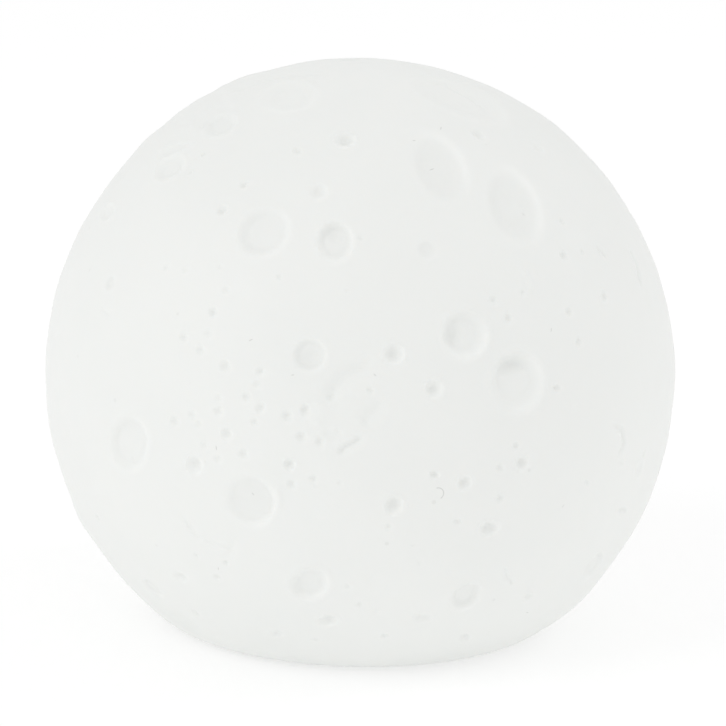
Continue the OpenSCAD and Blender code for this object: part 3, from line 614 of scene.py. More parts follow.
def make_shade():
    verts, faces = plain_shell()
    shell = object_from("crater_shade", verts, faces)
    outward(shell)
    v, f, rings = lathe(mid_wall(), 96)
    trim = object_from("trim", v, f)
    outward(trim)
    liner = block("liner", (-10, 10), (35.5, 75.5), (0, 11.5))
    outward(liner)
    boolean(liner, trim, "INTERSECT")
    boolean(shell, liner, "UNION")
    tool = notch_tool()
    outward(tool)
    boolean(shell, tool, "DIFFERENCE")
    me = shell.data
    me.calc_loop_triangles()
    V = np.zeros(len(me.vertices) * 3, np.float32)
    me.vertices.foreach_get("co", V)
    V = V.reshape(-1, 3).astype(float)
    F = np.zeros(len(me.loop_triangles) * 3, np.int32)
    me.loop_triangles.foreach_get("vertices", F)
    F = F.reshape(-1, 3)
    # merge doubled vertices that the cuts leave
    key = np.round(V * 5000).astype(np.int64)
    _, first, inv = np.unique(key, axis=0, return_index=True, return_inverse=True)
    V, F = V[first], inv.reshape(-1)[F]
    F = unfold(V, F[(F[:, 0] != F[:, 1]) & (F[:, 1] != F[:, 2]) & (F[:, 2] != F[:, 0])])
    # which faces are on the outer surface: near the plain skin, and facing out
    C = V[F].mean(1)
    N = np.cross(V[F[:, 1]] - V[F[:, 0]], V[F[:, 2]] - V[F[:, 0]])
    N /= np.maximum(np.linalg.norm(N, axis=1, keepdims=True), 1e-12)
    on = np.linalg.norm(V - skin(directions(V)), axis=1) < 0.004
    cu = directions(C)
    phi = np.arctan2(np.hypot(cu[:, 0], cu[:, 1]), -cu[:, 2])
    free = on[F].all(1) & ((N * cu).sum(1) > 0.55) & (phi > math.atan2(36.3, ZC))
    # 1: close enough to see every dip
    need = [1 / math.sqrt(np.linalg.eigvalsh(d["q"])[1]) / (3.6 if d["r"] < 2.6 else 5.0) for d in DIPS]
    need = np.clip(need, 0.24, 0.95)

    def by_size(V, e):
        mid = directions(V[e].mean(1))
        long = np.linalg.norm(V[e[:, 0]] - V[e[:, 1]], axis=1)
        hit = np.zeros(len(e), bool)
        for s in range(0, len(e), 20000):
            dots = mid[s : s + 20000] @ CEN.T
            near = dots > np.cos(np.minimum(REACH / 1.75 * 1.35 + 0.2, 30) / R)[None]
            size = np.where(near, need[None], 9.0).min(1)
            for line, half, _ in GROOVES:
                spots = np.concatenate([line, (line[1:] + line[:-1]) / 2])
                close = (mid[s : s + 20000] @ spots.T).max(1) > math.cos((2.2 * half + 1.6) / R)
                size = np.where(close, np.minimum(size, max(0.4, half / 1.5)), size)
            hit[s : s + 20000] = long[s : s + 20000] > size * 1.35
        return hit & (V[e].mean(1)[:, 2] > 1.5)

    V, F, free = refine(V, F, free, by_size, 6, 150000)

    # 2: where the relief bends within an edge
    def by_bend(V, e):
        u = directions(V)
        used = np.unique(e)
        h = np.zeros(len(V))
        h[used] = height(u[used], V[used, 2])
        m = V[e].mean(1)
        hm = height(directions(m), m[:, 2])
        long = np.linalg.norm(V[e[:, 0]] - V[e[:, 1]], axis=1)
        bend = np.abs(hm - h[e].mean(1)) * 8 / long
        return (bend > BEND) & (long > 0.3)

    V, F, free = refine(V, F, free, by_bend, 3, 150000)
    print("shade triangles", len(F), "free", int(free.sum()))
    # 3: push the free surface in and out
    uses_all = np.bincount(F.ravel(), minlength=len(V))
    uses_free = np.bincount(F[free].ravel(), minlength=len(V))
    move = (uses_free > 0) & (uses_free == uses_all)
    u = directions(V[move])
    # painted light for the silicone's colour: painted shade on crater floors above 0, painted highlight on crater rims
    # below 0
    painted_shade_and_highlight = np.zeros(len(V), np.float32)
    painted_shade_and_highlight[move] = np.clip(-height(u, V[move, 2], True), -1, 1)
    V[move] += u * height(u, V[move, 2])[:, None]
    old = shell.data
    mesh = bpy.data.meshes.new("crater_shade")
    mesh.vertices.add(len(V))
    mesh.vertices.foreach_set("co", (V / 1000).astype(np.float32).ravel())
    mesh.loops.add(len(F) * 3)
    mesh.loops.foreach_set("vertex_index", F.astype(np.int32).ravel())
    mesh.polygons.add(len(F))
    mesh.polygons.foreach_set("loop_start", np.arange(0, len(F) * 3, 3, dtype=np.int32))
    mesh.polygons.foreach_set("loop_total", np.full(len(F), 3, np.int32))
    mesh.update(calc_edges=True)
    mesh.attributes.new("painted_shade_and_highlight", "FLOAT", "POINT").data.foreach_set("value", painted_shade_and_highlight)
    mesh.validate()
    mesh.polygons.foreach_set("use_smooth", np.ones(len(mesh.polygons), bool))
    mesh.set_sharp_from_angle(angle=math.radians(38))
    shell.data = mesh
    bpy.data.meshes.remove(old)
    return shell


BEND = 0.17


# ---------------------------------------------------------------- materials
class Look:
    """A node material. Every value may be a number, a colour or another node's output; lengths are mm."""

    def __init__(self, name):
        self.mat = bpy.data.materials.new(name)
        self.mat.use_nodes = True
        self.tree = self.mat.node_tree
        self.tree.nodes.clear()
        self.out = self.tree.nodes.new("ShaderNodeOutputMaterial")
        self.bsdf = self.tree.nodes.new("ShaderNodeBsdfPrincipled")
        self.tree.links.new(self.bsdf.outputs[0], self.out.inputs[0])
        where = self.tree.nodes.new("ShaderNodeTexCoord")
        self.mm = self.vec("SCALE", where.outputs["Object"], scale=1000.0)
        self.x, self.y, self.z = self.split(self.mm)

    def put(self, socket, value):
        if isinstance(value, bpy.types.NodeSocket):
            self.tree.links.new(value, socket)
        elif isinstance(value, (tuple, list)) and len(value) == 3 and socket.type == "RGBA":
            socket.default_value = (*value, 1.0)
        else:
            socket.default_value = value

    def set(self, **values):
        for name, value in values.items():
            self.put(self.bsdf.inputs[name.replace("_", " ").title().replace("Ior", "IOR")], value)
        return self

    def math(self, op, a, b=0.0, c=0.0, clamp=False):
        n = self.tree.nodes.new("ShaderNodeMath")
        n.operation, n.use_clamp = op, clamp
        for s, v in zip(n.inputs, (a, b, c)):
            self.put(s, v)
        return n.outputs[0]

    def vec(self, op, a, b=(0.0, 0.0, 0.0), scale=1.0):
        n = self.tree.nodes.new("ShaderNodeVectorMath")
        n.operation = op
        self.put(n.inputs[0], a)
        self.put(n.inputs[1], b)
        if op == "SCALE":
            self.put(n.inputs["Scale"], scale)
        return n.outputs["Value"] if op in ("LENGTH", "DOT_PRODUCT", "DISTANCE") else n.outputs["Vector"]

    def split(self, v):
        n = self.tree.nodes.new("ShaderNodeSeparateXYZ")
        self.put(n.inputs[0], v)
        return n.outputs[0], n.outputs[1], n.outputs[2]

    def join(self, x, y, z):
        n = self.tree.nodes.new("ShaderNodeCombineXYZ")
        for s, v in zip(n.inputs, (x, y, z)):
            self.put(s, v)
        return n.outputs[0]

    def noise(self, size, detail=3.0, rough=0.5, at=None, warp=0.0):
        """0 to 1; size is the width of one blob in mm."""
        n = self.tree.nodes.new("ShaderNodeTexNoise")
        self.put(n.inputs["Vector"], at if at is not None else self.mm)
        n.inputs["Scale"].default_value = 1.0 / size
        n.inputs["Detail"].default_value = detail
        n.inputs["Roughness"].default_value = rough
        n.inputs["Distortion"].default_value = warp
        return n.outputs[0]

    def cells(self, size, feature="F1", at=None, jitter=1.0, out="Distance"):
        n = self.tree.nodes.new("ShaderNodeTexVoronoi")
        n.feature = feature
        self.put(n.inputs["Vector"], at if at is not None else self.mm)
        n.inputs["Scale"].default_value = 1.0 / size
        n.inputs["Randomness"].default_value = jitter
        return n.outputs[out]

    def remap(self, v, a, b, lo=0.0, hi=1.0, kind="SMOOTHSTEP"):
        n = self.tree.nodes.new("ShaderNodeMapRange")
        n.interpolation_type = kind
        for name, value in (("Value", v), ("From Min", a), ("From Max", b), ("To Min", lo), ("To Max", hi)):
            self.put(n.inputs[name], value)
        return n.outputs[0]

    def mix(self, f, a, b):
        n = self.tree.nodes.new("ShaderNodeMix")
        n.data_type = "RGBA"
        self.put(n.inputs[0], f)
        self.put(n.inputs[6], a)
        self.put(n.inputs[7], b)
        return n.outputs[2]

    def bump(self, *layers):
        """layers of (height 0..1, depth in mm), the first the finest."""
        normal = None
        for h, depth in layers:
            n = self.tree.nodes.new("ShaderNodeBump")
            n.inputs["Strength"].default_value = 1.0
            n.inputs["Distance"].default_value = depth / 1000
            self.put(n.inputs["Height"], h)
            if normal is not None:
                self.put(n.inputs["Normal"], normal)
            normal = n.outputs[0]
        self.put(self.bsdf.inputs["Normal"], normal)
        return self


def rows(look, value, pitch, share):
    """1 on bands that repeat each pitch mm and cover that share of it."""
    t = look.math("FRACT", look.math("DIVIDE", value, pitch))
    d = look.math("ABSOLUTE", look.math("SUBTRACT", t, 0.5))
    return look.remap(d, share / 2 - 0.06, share / 2 + 0.06, 1.0, 0.0)


SPECKS = [  # lint on the shade: px, length and width in mm, angle
    (433, 166, 1.4, 0.30, 20), (441, 128, 1.3, 0.26, 60), (414, 141, 0.8, 0.26, 0), (216, 448, 1.2, 0.26, 100),
    (251, 340, 1.1, 0.24, 30), (375, 375, 0.9, 0.22, 140), (293, 375, 0.8, 0.24, 10), (551, 330, 1.0, 0.24, 70),
    (526, 212, 0.9, 0.24, 110), (563, 506, 0.9, 0.24, 50), (527, 612, 1.1, 0.24, 160), (218, 569, 0.9, 0.22, 80),
    (252, 495, 0.9, 0.24, 130),
]


def silicone():
    k = Look("silicone_white")
    cloud = k.noise(26.0, 2.0)
    fine = k.noise(0.55, 4.0, 0.6)
    grain = k.noise(2.4, 3.0, 0.55)
    colour = k.mix(cloud, (0.842, 0.856, 0.838), (0.868, 0.878, 0.858))
    dust_and_painted_shade = k.remap(k.cells(9.0), 0.035, 0.075, 1.0, 0.0)
    colour = k.mix(k.math("MULTIPLY", dust_and_painted_shade, k.remap(k.noise(30.0, 1.0), 0.5, 0.62, 0.0, 0.22)), colour, (0.60, 0.60, 0.58))
    marks = None
    for x, y, long, wide, angle in SPECKS:
        c = on_ball(x, y)
        side, up = basis(c)
        a = math.radians(angle)
        p, q = math.cos(a) * side + math.sin(a) * up, -math.sin(a) * side + math.cos(a) * up
        d = k.vec("SUBTRACT", k.mm, tuple(c * R + np.array([0, 0, ZC])))
        s = k.vec("DOT_PRODUCT", d, tuple(p / (long / 2)))
        t = k.vec("DOT_PRODUCT", d, tuple(q / (wide / 2)))
        near = k.remap(k.math("ADD", k.math("MULTIPLY", s, s), k.math("MULTIPLY", t, t)), 0.3, 1.3, 1.0, 0.0)
        front = k.remap(k.vec("LENGTH", d), 1.8, 2.2, 1.0, 0.0)
        spot = k.math("MULTIPLY", near, front)
        marks = spot if marks is None else k.math("MAXIMUM", marks, spot)
    # one curled hair
    c = on_ball(438, 494)
    side, up = basis(c)
    d = k.vec("SUBTRACT", k.mm, tuple(c * R + np.array([0, 0, ZC])))
    s, t = k.vec("DOT_PRODUCT", d, tuple(side)), k.vec("DOT_PRODUCT", d, tuple(up))
    off = k.math("ABSOLUTE", k.math("SUBTRACT", k.vec("LENGTH", k.join(s, t, 0.0)), 1.35))
    hair = k.math("MULTIPLY", k.remap(off, 0.07, 0.16, 1.0, 0.0), k.remap(k.math("ADD", s, k.math("MULTIPLY", t, 0.45)), 0.1, 0.35))
    hair = k.math("MULTIPLY", hair, k.remap(k.vec("LENGTH", d), 1.8, 2.2, 1.0, 0.0))
    marks = k.math("MAXIMUM", marks, hair)
    colour = k.mix(k.math("MULTIPLY", marks, 0.34), colour, (0.34, 0.335, 0.32))
    # painted shade: the crater floors are mixed darker, more on their shaded side; painted highlight: the crater rims
    # are mixed lighter on one side
    painted_light_node = k.tree.nodes.new("ShaderNodeAttribute")
    painted_light_node.attribute_name = "painted_shade_and_highlight"
    painted_shade = k.math("MAXIMUM", painted_light_node.outputs["Fac"], 0.0)
    painted_shade = k.math("MULTIPLY", painted_shade, k.remap(k.noise(3.0, 3.0), 0.25, 0.75, 0.045, 0.07))
    colour = k.mix(painted_shade, colour, (0.44, 0.44, 0.42))
    # painted highlight on the crater rims
    painted_highlight = k.math("MAXIMUM", k.math("MULTIPLY", painted_light_node.outputs["Fac"], -1.0), 0.0)
    painted_highlight = k.math("MULTIPLY", painted_highlight, k.remap(k.noise(2.0, 3.0), 0.25, 0.75, 0.26, 0.40))
    colour = k.mix(painted_highlight, colour, (0.955, 0.965, 0.945))
    k.set(base_color=colour, roughness=k.remap(k.noise(5.0, 3.0), 0.3, 0.7, 0.46, 0.60), specular_ior_level=0.5)
    k.set(subsurface_weight=0.25, subsurface_radius=(1.0, 0.95, 0.9), subsurface_scale=0.0012, ior=1.41)
    k.bump((fine, 0.006), (grain, 0.02))
    return k.mat


def moulded(name, base, rough, grain=0.28, depth=0.012, shade=0.06, sss=0.0):
    """Injection-moulded plastic with a spark-eroded skin and faint flow marks."""
    k = Look(name)
    flow = k.noise(9.0, 3.0, 0.5, warp=0.8)
    dark = tuple(c * (1 - shade) for c in base)
    scuff = k.remap(k.noise(1.6, 5.0, 0.7), 0.58, 0.75, 0.0, 0.35)
    colour = k.mix(flow, dark, base)
    colour = k.mix(k.math("MULTIPLY", scuff, 0.4), colour, tuple(min(1.0, c * 1.12 + 0.01) for c in base))
    k.set(base_color=colour, roughness=k.remap(k.noise(2.2, 4.0), 0.3, 0.7, rough - 0.07, rough + 0.08))
    if sss:
        k.set(subsurface_weight=sss, subsurface_radius=(1.0, 1.0, 0.9), subsurface_scale=0.001)
    k.bump((k.cells(grain, "SMOOTH_F1"), depth), (flow, 0.02))
    return k.mat


def rubber(name, base):
    k = Look(name)
    dust_and_painted_shade = k.remap(k.noise(0.9, 5.0, 0.7), 0.52, 0.72, 0.0, 0.5)
    colour = k.mix(dust_and_painted_shade, base, tuple(c * 1.7 + 0.02 for c in base))
    k.set(base_color=colour, roughness=k.remap(k.noise(1.5, 3.0), 0.3, 0.7, 0.72, 0.9), specular_ior_level=0.3)
    k.bump((k.noise(0.18, 3.0, 0.6), 0.02), (k.cells(0.7, "SMOOTH_F1"), 0.03))
    return k.mat


def foam(name, base):
    k = Look(name)
    pore = k.cells(0.35, "F1")
    colour = k.mix(k.remap(pore, 0.1, 0.7), tuple(c * 0.5 for c in base), tuple(c * 1.6 for c in base))
    k.set(base_color=colour, roughness=0.95, specular_ior_level=0.2)
    k.bump((pore, 0.12), (k.noise(2.0, 3.0), 0.1))
    return k.mat


def metal(name, base, rough, stretch=(1.0, 1.0, 1.0), tint=(0.9, 0.88, 0.84), depth=0.006):
    """Plated or drawn metal: fine lines along one direction, and a little dullness in patches."""
    k = Look(name)
    at = k.vec("MULTIPLY", k.mm, stretch)
    lines = k.noise(0.16, 4.0, 0.65, at=at)
    patch = k.noise(1.8, 4.0, 0.6)
    colour = k.mix(k.remap(patch, 0.35, 0.75), base, tuple(b * t for b, t in zip(base, tint)))
    k.set(base_color=colour, metallic=1.0)
    k.set(roughness=k.math("ADD", k.remap(patch, 0.3, 0.7, rough - 0.06, rough + 0.1), k.math("MULTIPLY", lines, 0.08)))
    k.bump((lines, depth), (k.noise(0.9, 2.0), 0.012))
    return k.mat


def frosted():
    k = Look("dome_frosted")
    cloud = k.noise(7.0, 3.0)
    colour = k.mix(cloud, (0.86, 0.87, 0.86), (0.91, 0.915, 0.905))
    k.set(base_color=colour, roughness=k.remap(k.noise(3.0, 3.0), 0.3, 0.7, 0.5, 0.62), ior=1.49)
    k.set(transmission_weight=0.18, subsurface_weight=0.45, subsurface_radius=(1.0, 1.0, 1.0), subsurface_scale=0.0014)
    k.bump((k.noise(0.22, 3.0, 0.6), 0.016), (cloud, 0.03))
    return k.mat


def circuit(name, mask, track, pad, seed):
    """Solder mask over copper: runs of parallel tracks in patches, tinned vias, a fine resin weave."""
    k = Look(name)
    flat = k.join(k.x, k.y, seed)
    patch = k.tree.nodes.new("ShaderNodeTexWhiteNoise")
    patch.noise_dimensions = "3D"
    cell = k.vec("FLOOR", k.vec("SCALE", k.join(k.x, k.y, seed * 5.0), scale=1 / 5.2))
    k.put(patch.inputs["Vector"], cell)
    turn = k.math("GREATER_THAN", patch.outputs["Value"], 0.5)
    across = k.math("ADD", k.math("MULTIPLY", k.x, turn), k.math("MULTIPLY", k.y, k.math("SUBTRACT", 1.0, turn)))
    lines = rows(k, across, 0.82, 0.5)
    there = k.remap(k.noise(4.5, 2.0, at=flat), 0.44, 0.5)
    tracks = k.math("MULTIPLY", lines, there)
    pour = k.remap(k.noise(9.0, 1.0, at=k.vec("ADD", flat, (31.0, 7.0, 2.0))), 0.54, 0.56)
    copper = k.math("MAXIMUM", tracks, pour)
    dots = k.cells(2.7, at=flat, jitter=0.55)
    via = k.remap(dots, 0.13, 0.16, 1.0, 0.0)
    hole = k.remap(dots, 0.05, 0.07, 1.0, 0.0)
    colour = k.mix(copper, mask, track)
    colour = k.mix(via, colour, pad)
    colour = k.mix(hole, colour, (0.02, 0.02, 0.02))
    k.set(base_color=colour, metallic=k.math("MULTIPLY", k.math("SUBTRACT", via, hole), 0.9))
    k.set(roughness=k.remap(k.noise(1.4, 3.0), 0.3, 0.7, 0.24, 0.36), coat_weight=0.25, coat_roughness=0.15)
    weave = k.math("MULTIPLY", rows(k, k.x, 0.45, 0.6), rows(k, k.y, 0.45, 0.6))
    k.bump((weave, 0.004), (k.math("MAXIMUM", copper, via), 0.035))
    return k.mat


def phosphor():
    """White chip frame with a yellow gel dish; the dishes lie on two rings round the axis."""
    k = Look("led_phosphor")
    angle = k.math("ARCTAN2", k.y, k.x)
    radius = k.vec("LENGTH", k.join(k.x, k.y, 0.0))

    def ring(r, count, start):
        step = 2 * math.pi / count
        t = k.math("DIVIDE", k.math("SUBTRACT", angle, start), step)
        off = k.math("MULTIPLY", k.math("SUBTRACT", t, k.math("ROUND", t)), step * r)
        return k.vec("LENGTH", k.join(k.math("SUBTRACT", radius, r), off, 0.0))

    d = k.math("MINIMUM", ring(16.5, 12, 0.0), ring(6.0, 3, math.pi / 2))
    gel = k.math("MULTIPLY", k.remap(d, 1.06, 1.12, 1.0, 0.0), k.remap(k.z, 28.6, 28.72, 0.0, 1.0))
    colour = k.mix(gel, (0.83, 0.83, 0.79), k.mix(k.noise(0.4, 3.0), (0.86, 0.66, 0.12), (0.92, 0.78, 0.25)))
    k.set(base_color=colour, roughness=k.remap(k.noise(0.5, 3.0), 0.3, 0.7, 0.32, 0.44), coat_weight=0.1)
    k.set(subsurface_weight=0.15, subsurface_radius=(1.0, 0.8, 0.3), subsurface_scale=0.0006)
    k.bump((k.noise(0.12, 3.0), 0.008))
    return k.mat


def wire(name, base):
    k = Look(name)
    sweat = k.noise(1.4, 4.0, 0.6)
    colour = k.mix(sweat, tuple(c * 0.8 for c in base), tuple(min(1, c * 1.15 + 0.01) for c in base))
    k.set(base_color=colour, roughness=k.remap(sweat, 0.3, 0.7, 0.30, 0.46), ior=1.52)
    k.bump((k.noise(0.14, 3.0), 0.008), (k.noise(1.1, 2.0), 0.02))
    return k.mat


def cell_wrap():
    """Shrink film over a steel can: the film stops short of the two ends and wrinkles there."""
    k = Look("cell_wrap")
    end = k.math("ABSOLUTE", k.x)
    round_ = k.vec("LENGTH", k.join(0.0, k.math("SUBTRACT", k.y, 2.0), k.math("SUBTRACT", k.z, 17.2)))
    bare = k.math("MULTIPLY", k.remap(end, 24.2, 24.3, 0.0, 1.0), k.remap(round_, 5.7, 5.8, 1.0, 0.0))
    seam = k.remap(k.math("ABSOLUTE", k.math("ADD", k.y, 1.6)), 0.10, 0.2, 1.0, 0.0)
    seam = k.math("MULTIPLY", seam, k.remap(k.z, 16.0, 16.1, 1.0, 0.0))
    colour = k.mix(k.noise(6.0, 3.0), (0.035, 0.16, 0.42), (0.05, 0.21, 0.52))
    colour = k.mix(seam, colour, (0.02, 0.10, 0.30))
    colour = k.mix(bare, colour, (0.62, 0.61, 0.60))
    k.set(base_color=colour, metallic=bare, roughness=k.remap(k.noise(2.0, 4.0), 0.3, 0.7, 0.22, 0.36))
    k.set(coat_weight=0.3, coat_roughness=0.12)
    pleat = k.noise(0.9, 3.0, at=k.join(k.math("MULTIPLY", k.x, 0.25), k.y, k.z))
    pleat = k.math("MULTIPLY", pleat, k.remap(end, 21.5, 24.5, 0.05, 1.0))
    k.bump((k.noise(0.5, 3.0), 0.008), (pleat, 0.16))
    return k.mat


def chips():
    """Moulded chips: black resin over tinned legs."""
    k = Look("chip_black")
    legs = k.remap(k.z, 8.93, 8.965, 1.0, 0.0)
    top = k.noise(0.3, 4.0, 0.7)
    colour = k.mix(top, (0.012, 0.012, 0.014), (0.035, 0.035, 0.038))
    colour = k.mix(legs, colour, (0.66, 0.65, 0.62))
    k.set(base_color=colour, metallic=legs, roughness=k.remap(legs, 0.0, 1.0, 0.52, 0.3, "LINEAR"))
    k.bump((top, 0.012), (k.noise(0.12, 2.0), 0.006))
    return k.mat


def tongue():
    """The socket's tongue: black resin with a row of gold contacts on both faces."""
    k = Look("socket_tongue")
    strip = rows(k, k.math("ADD", k.x, 0.25), 0.5, 0.5)
    inside = k.remap(k.math("ABSOLUTE", k.x), 2.9, 2.95, 1.0, 0.0)
    span = k.math("MULTIPLY", k.remap(k.y, 19.6, 19.65), k.remap(k.y, 23.6, 23.65, 1.0, 0.0))
    gold = k.math("MULTIPLY", k.math("MULTIPLY", strip, inside), span)
    colour = k.mix(gold, k.mix(k.noise(0.5, 3.0), (0.018, 0.018, 0.02), (0.04, 0.04, 0.042)), (0.83, 0.62, 0.24))
    k.set(base_color=colour, metallic=gold, roughness=k.remap(gold, 0.0, 1.0, 0.5, 0.24, "LINEAR"))
    k.bump((k.noise(0.12, 3.0), 0.006), (gold, 0.03))
    return k.mat


def acrylic():
    k = Look("clear_acrylic")
    k.set(base_color=(0.93, 0.96, 0.965), roughness=k.remap(k.noise(0.6, 3.0), 0.3, 0.7, 0.03, 0.12), ior=1.49)
    k.set(transmission_weight=0.95)
    k.bump((k.noise(0.3, 3.0), 0.004), (k.noise(1.2, 2.0), 0.01))
    return k.mat


def can():
    """Aluminium can with a dark band on one side of its sleeve top, on a black seat."""
    k = Look("can_aluminium")
    dx, dy = k.math("SUBTRACT", k.x, 4.0), k.math("ADD", k.y, 17.0)
    seat = k.remap(k.z, 9.56, 9.6, 1.0, 0.0)
    band = k.math("MULTIPLY", k.remap(dx, 1.25, 1.3), k.remap(k.z, 15.25, 15.3))
    rings = rows(k, k.vec("LENGTH", k.join(dx, dy, 0.0)), 0.22, 0.5)
    colour = k.mix(k.noise(1.2, 4.0), (0.74, 0.745, 0.76), (0.82, 0.82, 0.83))
    colour = k.mix(k.math("MAXIMUM", seat, band), colour, (0.025, 0.025, 0.03))
    k.set(base_color=colour, metallic=k.math("SUBTRACT", 1.0, k.math("MAXIMUM", seat, band)))
    k.set(roughness=k.remap(k.noise(0.8, 4.0), 0.3, 0.7, 0.26, 0.4))
    k.bump((k.noise(0.1, 3.0), 0.005), (rings, 0.006))
    return k.mat


def tabs():
    """Nickel strip with four weld spots on each."""
    k = Look("tab_nickel")
    dy = k.math("ABSOLUTE", k.math("SUBTRACT", k.y, 2.0))
    dz = k.math("ABSOLUTE", k.math("SUBTRACT", k.z, 17.2))
    d = k.vec("LENGTH", k.join(k.math("SUBTRACT", dy, 0.9), k.math("SUBTRACT", dz, 0.9), 0.0))
    spot = k.remap(d, 0.28, 0.42, 1.0, 0.0)
    lines = k.noise(0.14, 4.0, 0.6, at=k.vec("MULTIPLY", k.mm, (1.0, 4.0, 0.3)))
    colour = k.mix(spot, k.mix(k.noise(1.0, 4.0), (0.66, 0.64, 0.60), (0.74, 0.72, 0.67)), (0.36, 0.30, 0.24))
    k.set(base_color=colour, metallic=1.0, roughness=k.math("ADD", k.math("MULTIPLY", lines, 0.14), 0.24))
    k.bump((lines, 0.008), (k.math("SUBTRACT", 1.0, spot), 0.08))
    return k.mat


LOOKS = {
    "housing_white": moulded("housing_white", (0.82, 0.82, 0.80), 0.46, sss=0.05),
    "foot_rubber": rubber("foot_rubber", (0.055, 0.055, 0.058)),
    "screw_steel": metal("screw_steel", (0.70, 0.71, 0.73), 0.28, (1.0, 1.0, 3.0)),
    "dome_frosted": frosted(),
    "board_white": circuit("board_white", (0.80, 0.80, 0.77), (0.86, 0.86, 0.84), (0.72, 0.70, 0.66), 3.0),
    "led_phosphor": phosphor(),
    "wire_red": wire("wire_red", (0.50, 0.03, 0.025)),
    "wire_black": wire("wire_black", (0.022, 0.022, 0.024)),
    "board_green": circuit("board_green", (0.012, 0.13, 0.055), (0.03, 0.24, 0.10), (0.72, 0.70, 0.66), 9.0),
    "socket_steel": metal("socket_steel", (0.68, 0.68, 0.70), 0.26, (1.0, 0.2, 1.0)),
    "plastic_black": moulded("plastic_black", (0.030, 0.030, 0.033), 0.45, 0.2, 0.01),
    "clear_acrylic": acrylic(),
    "button_white": moulded("button_white", (0.80, 0.80, 0.78), 0.38, 0.22, 0.008),
    "slider_grey": moulded("slider_grey", (0.16, 0.16, 0.17), 0.5, 0.2, 0.014),
    "cell_wrap": cell_wrap(),
    "tab_nickel": tabs(),
    "foam_grey": foam("foam_grey", (0.085, 0.085, 0.092)),
    "nylon_white": moulded("nylon_white", (0.80, 0.77, 0.68), 0.42, 0.3, 0.008, sss=0.1),
    "sensor_brass": metal("sensor_brass", (0.80, 0.60, 0.28), 0.25, (0.2, 1.0, 1.0), (0.86, 0.8, 0.7)),
    "can_aluminium": can(),
    "chip_black": chips(),
    "socket_tongue": tongue(),
}
SLOT = {s["node"]: s["material_slot"] for s in frame["record"]["subparts"]}
OWN = {"control_chips": "chip_black", "usb_tongue": "socket_tongue"}


def dress(obj, mat):
    if not obj.data.materials:
        obj.data.materials.append(mat)
    for i in range(len(obj.data.materials)):
        obj.data.materials[i] = mat


for name, obj in NODES.items():
    if name == "moon_shade":
        continue
    dress(obj, LOOKS[OWN.get(name, SLOT[name])])

# ---------------------------------------------------------------- the shade
shade = make_shade()
dress(shade, silicone())
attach(shade, "shade")
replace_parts(shade, "moon_shade")
dress(NODES["moon_shade"], shade.data.materials[0])


# ---------------------------------------------------------------- the wires
def spline(points, m):
    P = [np.array(p, float) for p in points]
    out = []
    for i in range(len(P) - 1):
        a, b, c, d = P[max(i - 1, 0)], P[i], P[i + 1], P[min(i + 2, len(P) - 1)]
        for j in range(m):
            t = j / m
            out.append(0.5 * (2 * b + (c - a) * t + (2 * a - 5 * b + 4 * c - d) * t**2 + (3 * b - a - 3 * c + d) * t**3))
    return np.array(out + [P[-1]])


def insulated(name, points, d, t0, t1, slot, m=8, sides=20):
    """The same line as the CAD wire, as a smooth tube with a flush end at both sides."""
    P = spline(points, m)
    T = [P[min(i + 1, len(P) - 1)] - P[max(i - 1, 0)] for i in range(len(P))]
    T[0], T[-1] = np.array(t0, float), np.array(t1, float)
    T = [t / np.linalg.norm(t) for t in T]
    n = np.array([1.0, 0, 0]) if abs(T[0][0]) < 0.9 else np.array([0, 1.0, 0])
    verts = []
    for p, t in zip(P, T):
        n = n - (n @ t) * t
        n /= np.linalg.norm(n)
        b = np.cross(t, n)
        verts += [p + d / 2 * (math.cos(a) * n + math.sin(a) * b) for a in np.arange(sides) * 2 * math.pi / sides]
    k = len(P)
    faces = [(i * sides + j, i * sides + (j + 1) % sides, (i + 1) * sides + (j + 1) % sides, (i + 1) * sides + j)
             for i in range(k - 1) for j in range(sides)]
    faces += [tuple(range(sides))[::-1], tuple(range((k - 1) * sides, k * sides))]
    obj = object_from(name, np.array(verts) / 1000, faces)
    outward(obj)
    for f in obj.data.polygons:
        f.use_smooth = len(f.vertices) == 4
    dress(obj, LOOKS[slot])
    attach(obj, "core")
    return obj


LEAD = [(0, 0, 8.6), (0, 0, 14), (0, 0, 21), (0, 0, 27), (0, 0.3, 29.1), (0, 1.4, 29.9), (0, 2.6, 29.2), (0, 2.9, 28.2)]
for side, slot in ((-1, "wire_red"), (1, "wire_black")):
    name = "led_lead_" + slot[5:]
    line = [(x - 3.2 + 0.9 * side, y - 21.8, z) for x, y, z in LEAD]
    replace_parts(insulated(name + "_tube", line, 1.2, (0, 0, 1), (0, 0, -1), slot), name)
line = [(25.3, 2, 19.5), (26.5, 1.6, 19.5), (27.4, -1.5, 19.4), (24, -6.5, 19.3), (18, -9.8, 19.5), (14.4, -11.8, 19.2),
        (13, -12.25, 18), (13, -12.25, 17)]
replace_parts(insulated("battery_lead_red_tube", line, 1.3, (1, 0, 0), (0, 0, -1), "wire_red"), "battery_lead_red")
line = [(-25.3, 2, 19.5), (-26.5, 1.6, 19.5), (-27.2, -1.5, 19.4), (-23.5, -6.5, 19.3), (-14, -7.6, 19), (-3, -7.6, 19.2),
        (6, -8.6, 19.6), (10.2, -11.2, 19.4), (11, -12.25, 18), (11, -12.25, 17)]
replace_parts(insulated("battery_lead_black_tube", line, 1.3, (-1, 0, 0), (0, 0, -1), "wire_black"), "battery_lead_black")

# ---------------------------------------------------------------- floor, light and camera
floor = object_from("floor", [(-30, -30, 0), (30, -30, 0), (30, 30, 0), (-30, 30, 0)], [(0, 1, 2, 3)])
k = Look("floor_white")
k.set(base_color=k.mix(k.noise(60.0, 2.0), (0.60, 0.60, 0.60), (0.605, 0.605, 0.605)), roughness=0.9)
k.set(specular_ior_level=0.0, emission_color=(1.0, 1.0, 1.0), emission_strength=0.44)
dress(floor, k.mat)

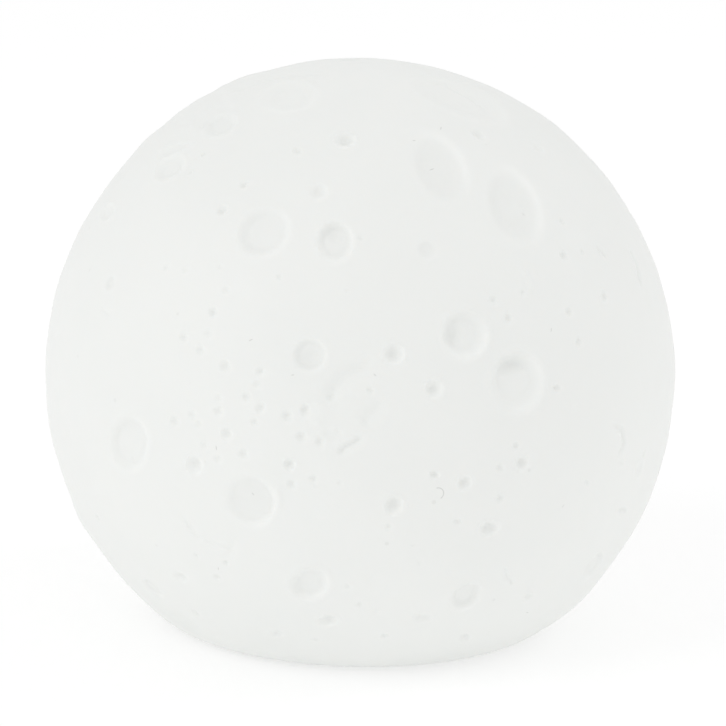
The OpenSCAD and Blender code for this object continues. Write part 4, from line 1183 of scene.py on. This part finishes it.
world = bpy.data.worlds.new("studio")
bpy.context.scene.world = world
world.use_nodes = True
wt = world.node_tree
wt.nodes.clear()
out = wt.nodes.new("ShaderNodeOutputWorld")
bg = wt.nodes.new("ShaderNodeBackground")
bg.inputs[0].default_value = (1.0, 1.0, 1.0, 1.0)
bg.inputs[1].default_value = 0.858
seen = wt.nodes.new("ShaderNodeBackground")
seen.inputs[0].default_value = (1.0, 1.0, 1.0, 1.0)
seen.inputs[1].default_value = 1.02
pick = wt.nodes.new("ShaderNodeMixShader")
ray = wt.nodes.new("ShaderNodeLightPath")
wt.links.new(ray.outputs["Is Camera Ray"], pick.inputs[0])
wt.links.new(bg.outputs[0], pick.inputs[1])
wt.links.new(seen.outputs[0], pick.inputs[2])
wt.links.new(pick.outputs[0], out.inputs[0])


def soft_light(name, place, power, size):
    data = bpy.data.lights.new(name, "AREA")
    data.energy, data.shape, data.size = power, "DISK", size
    obj = bpy.data.objects.new(name, data)
    obj.location = place
    obj.rotation_euler = (Vector((0, 0, 0.06)) - Vector(place)).to_track_quat("-Z", "Y").to_euler()
    bpy.context.scene.collection.objects.link(obj)
    return obj


soft_light("key", (-1.55, -1.1, 1.55), 7.3, 1.5)
soft_light("rim", (1.7, 0.3, 1.4), 3.5, 1.2)

scene = bpy.context.scene
scene.view_settings.view_transform = "Standard"
scene.view_settings.look = "None"
scene.view_settings.exposure = 0.0
scene.view_settings.gamma = 1.0

cam_data = bpy.data.cameras.new("camera")
cam = bpy.data.objects.new("camera", cam_data)
bpy.context.scene.collection.objects.link(cam)
cam_data.sensor_width = 36.0
cam_data.lens = PS * PD / 726 * 36.0
cam_data.clip_start, cam_data.clip_end = 0.05, 100.0
right = CR * RIGHT - SR * UP
up = SR * RIGHT + CR * UP
off_x, off_y = (PX - 363) / (PS * PD), -(PY - 363) / (PS * PD)  # where the ball's centre shows, off the middle
back = BACK + off_x * right + off_y * up
back /= np.linalg.norm(back)
right = right - (right @ back) * back
right /= np.linalg.norm(right)
up = np.cross(back, right)
eye = np.array([0, 0, ZC / 1000]) + BACK * PD * R / 1000
cam.matrix_world = Matrix(((right[0], up[0], back[0], eye[0]), (right[1], up[1], back[1], eye[1]),
                           (right[2], up[2], back[2], eye[2]), (0, 0, 0, 1)))
scene.camera = cam
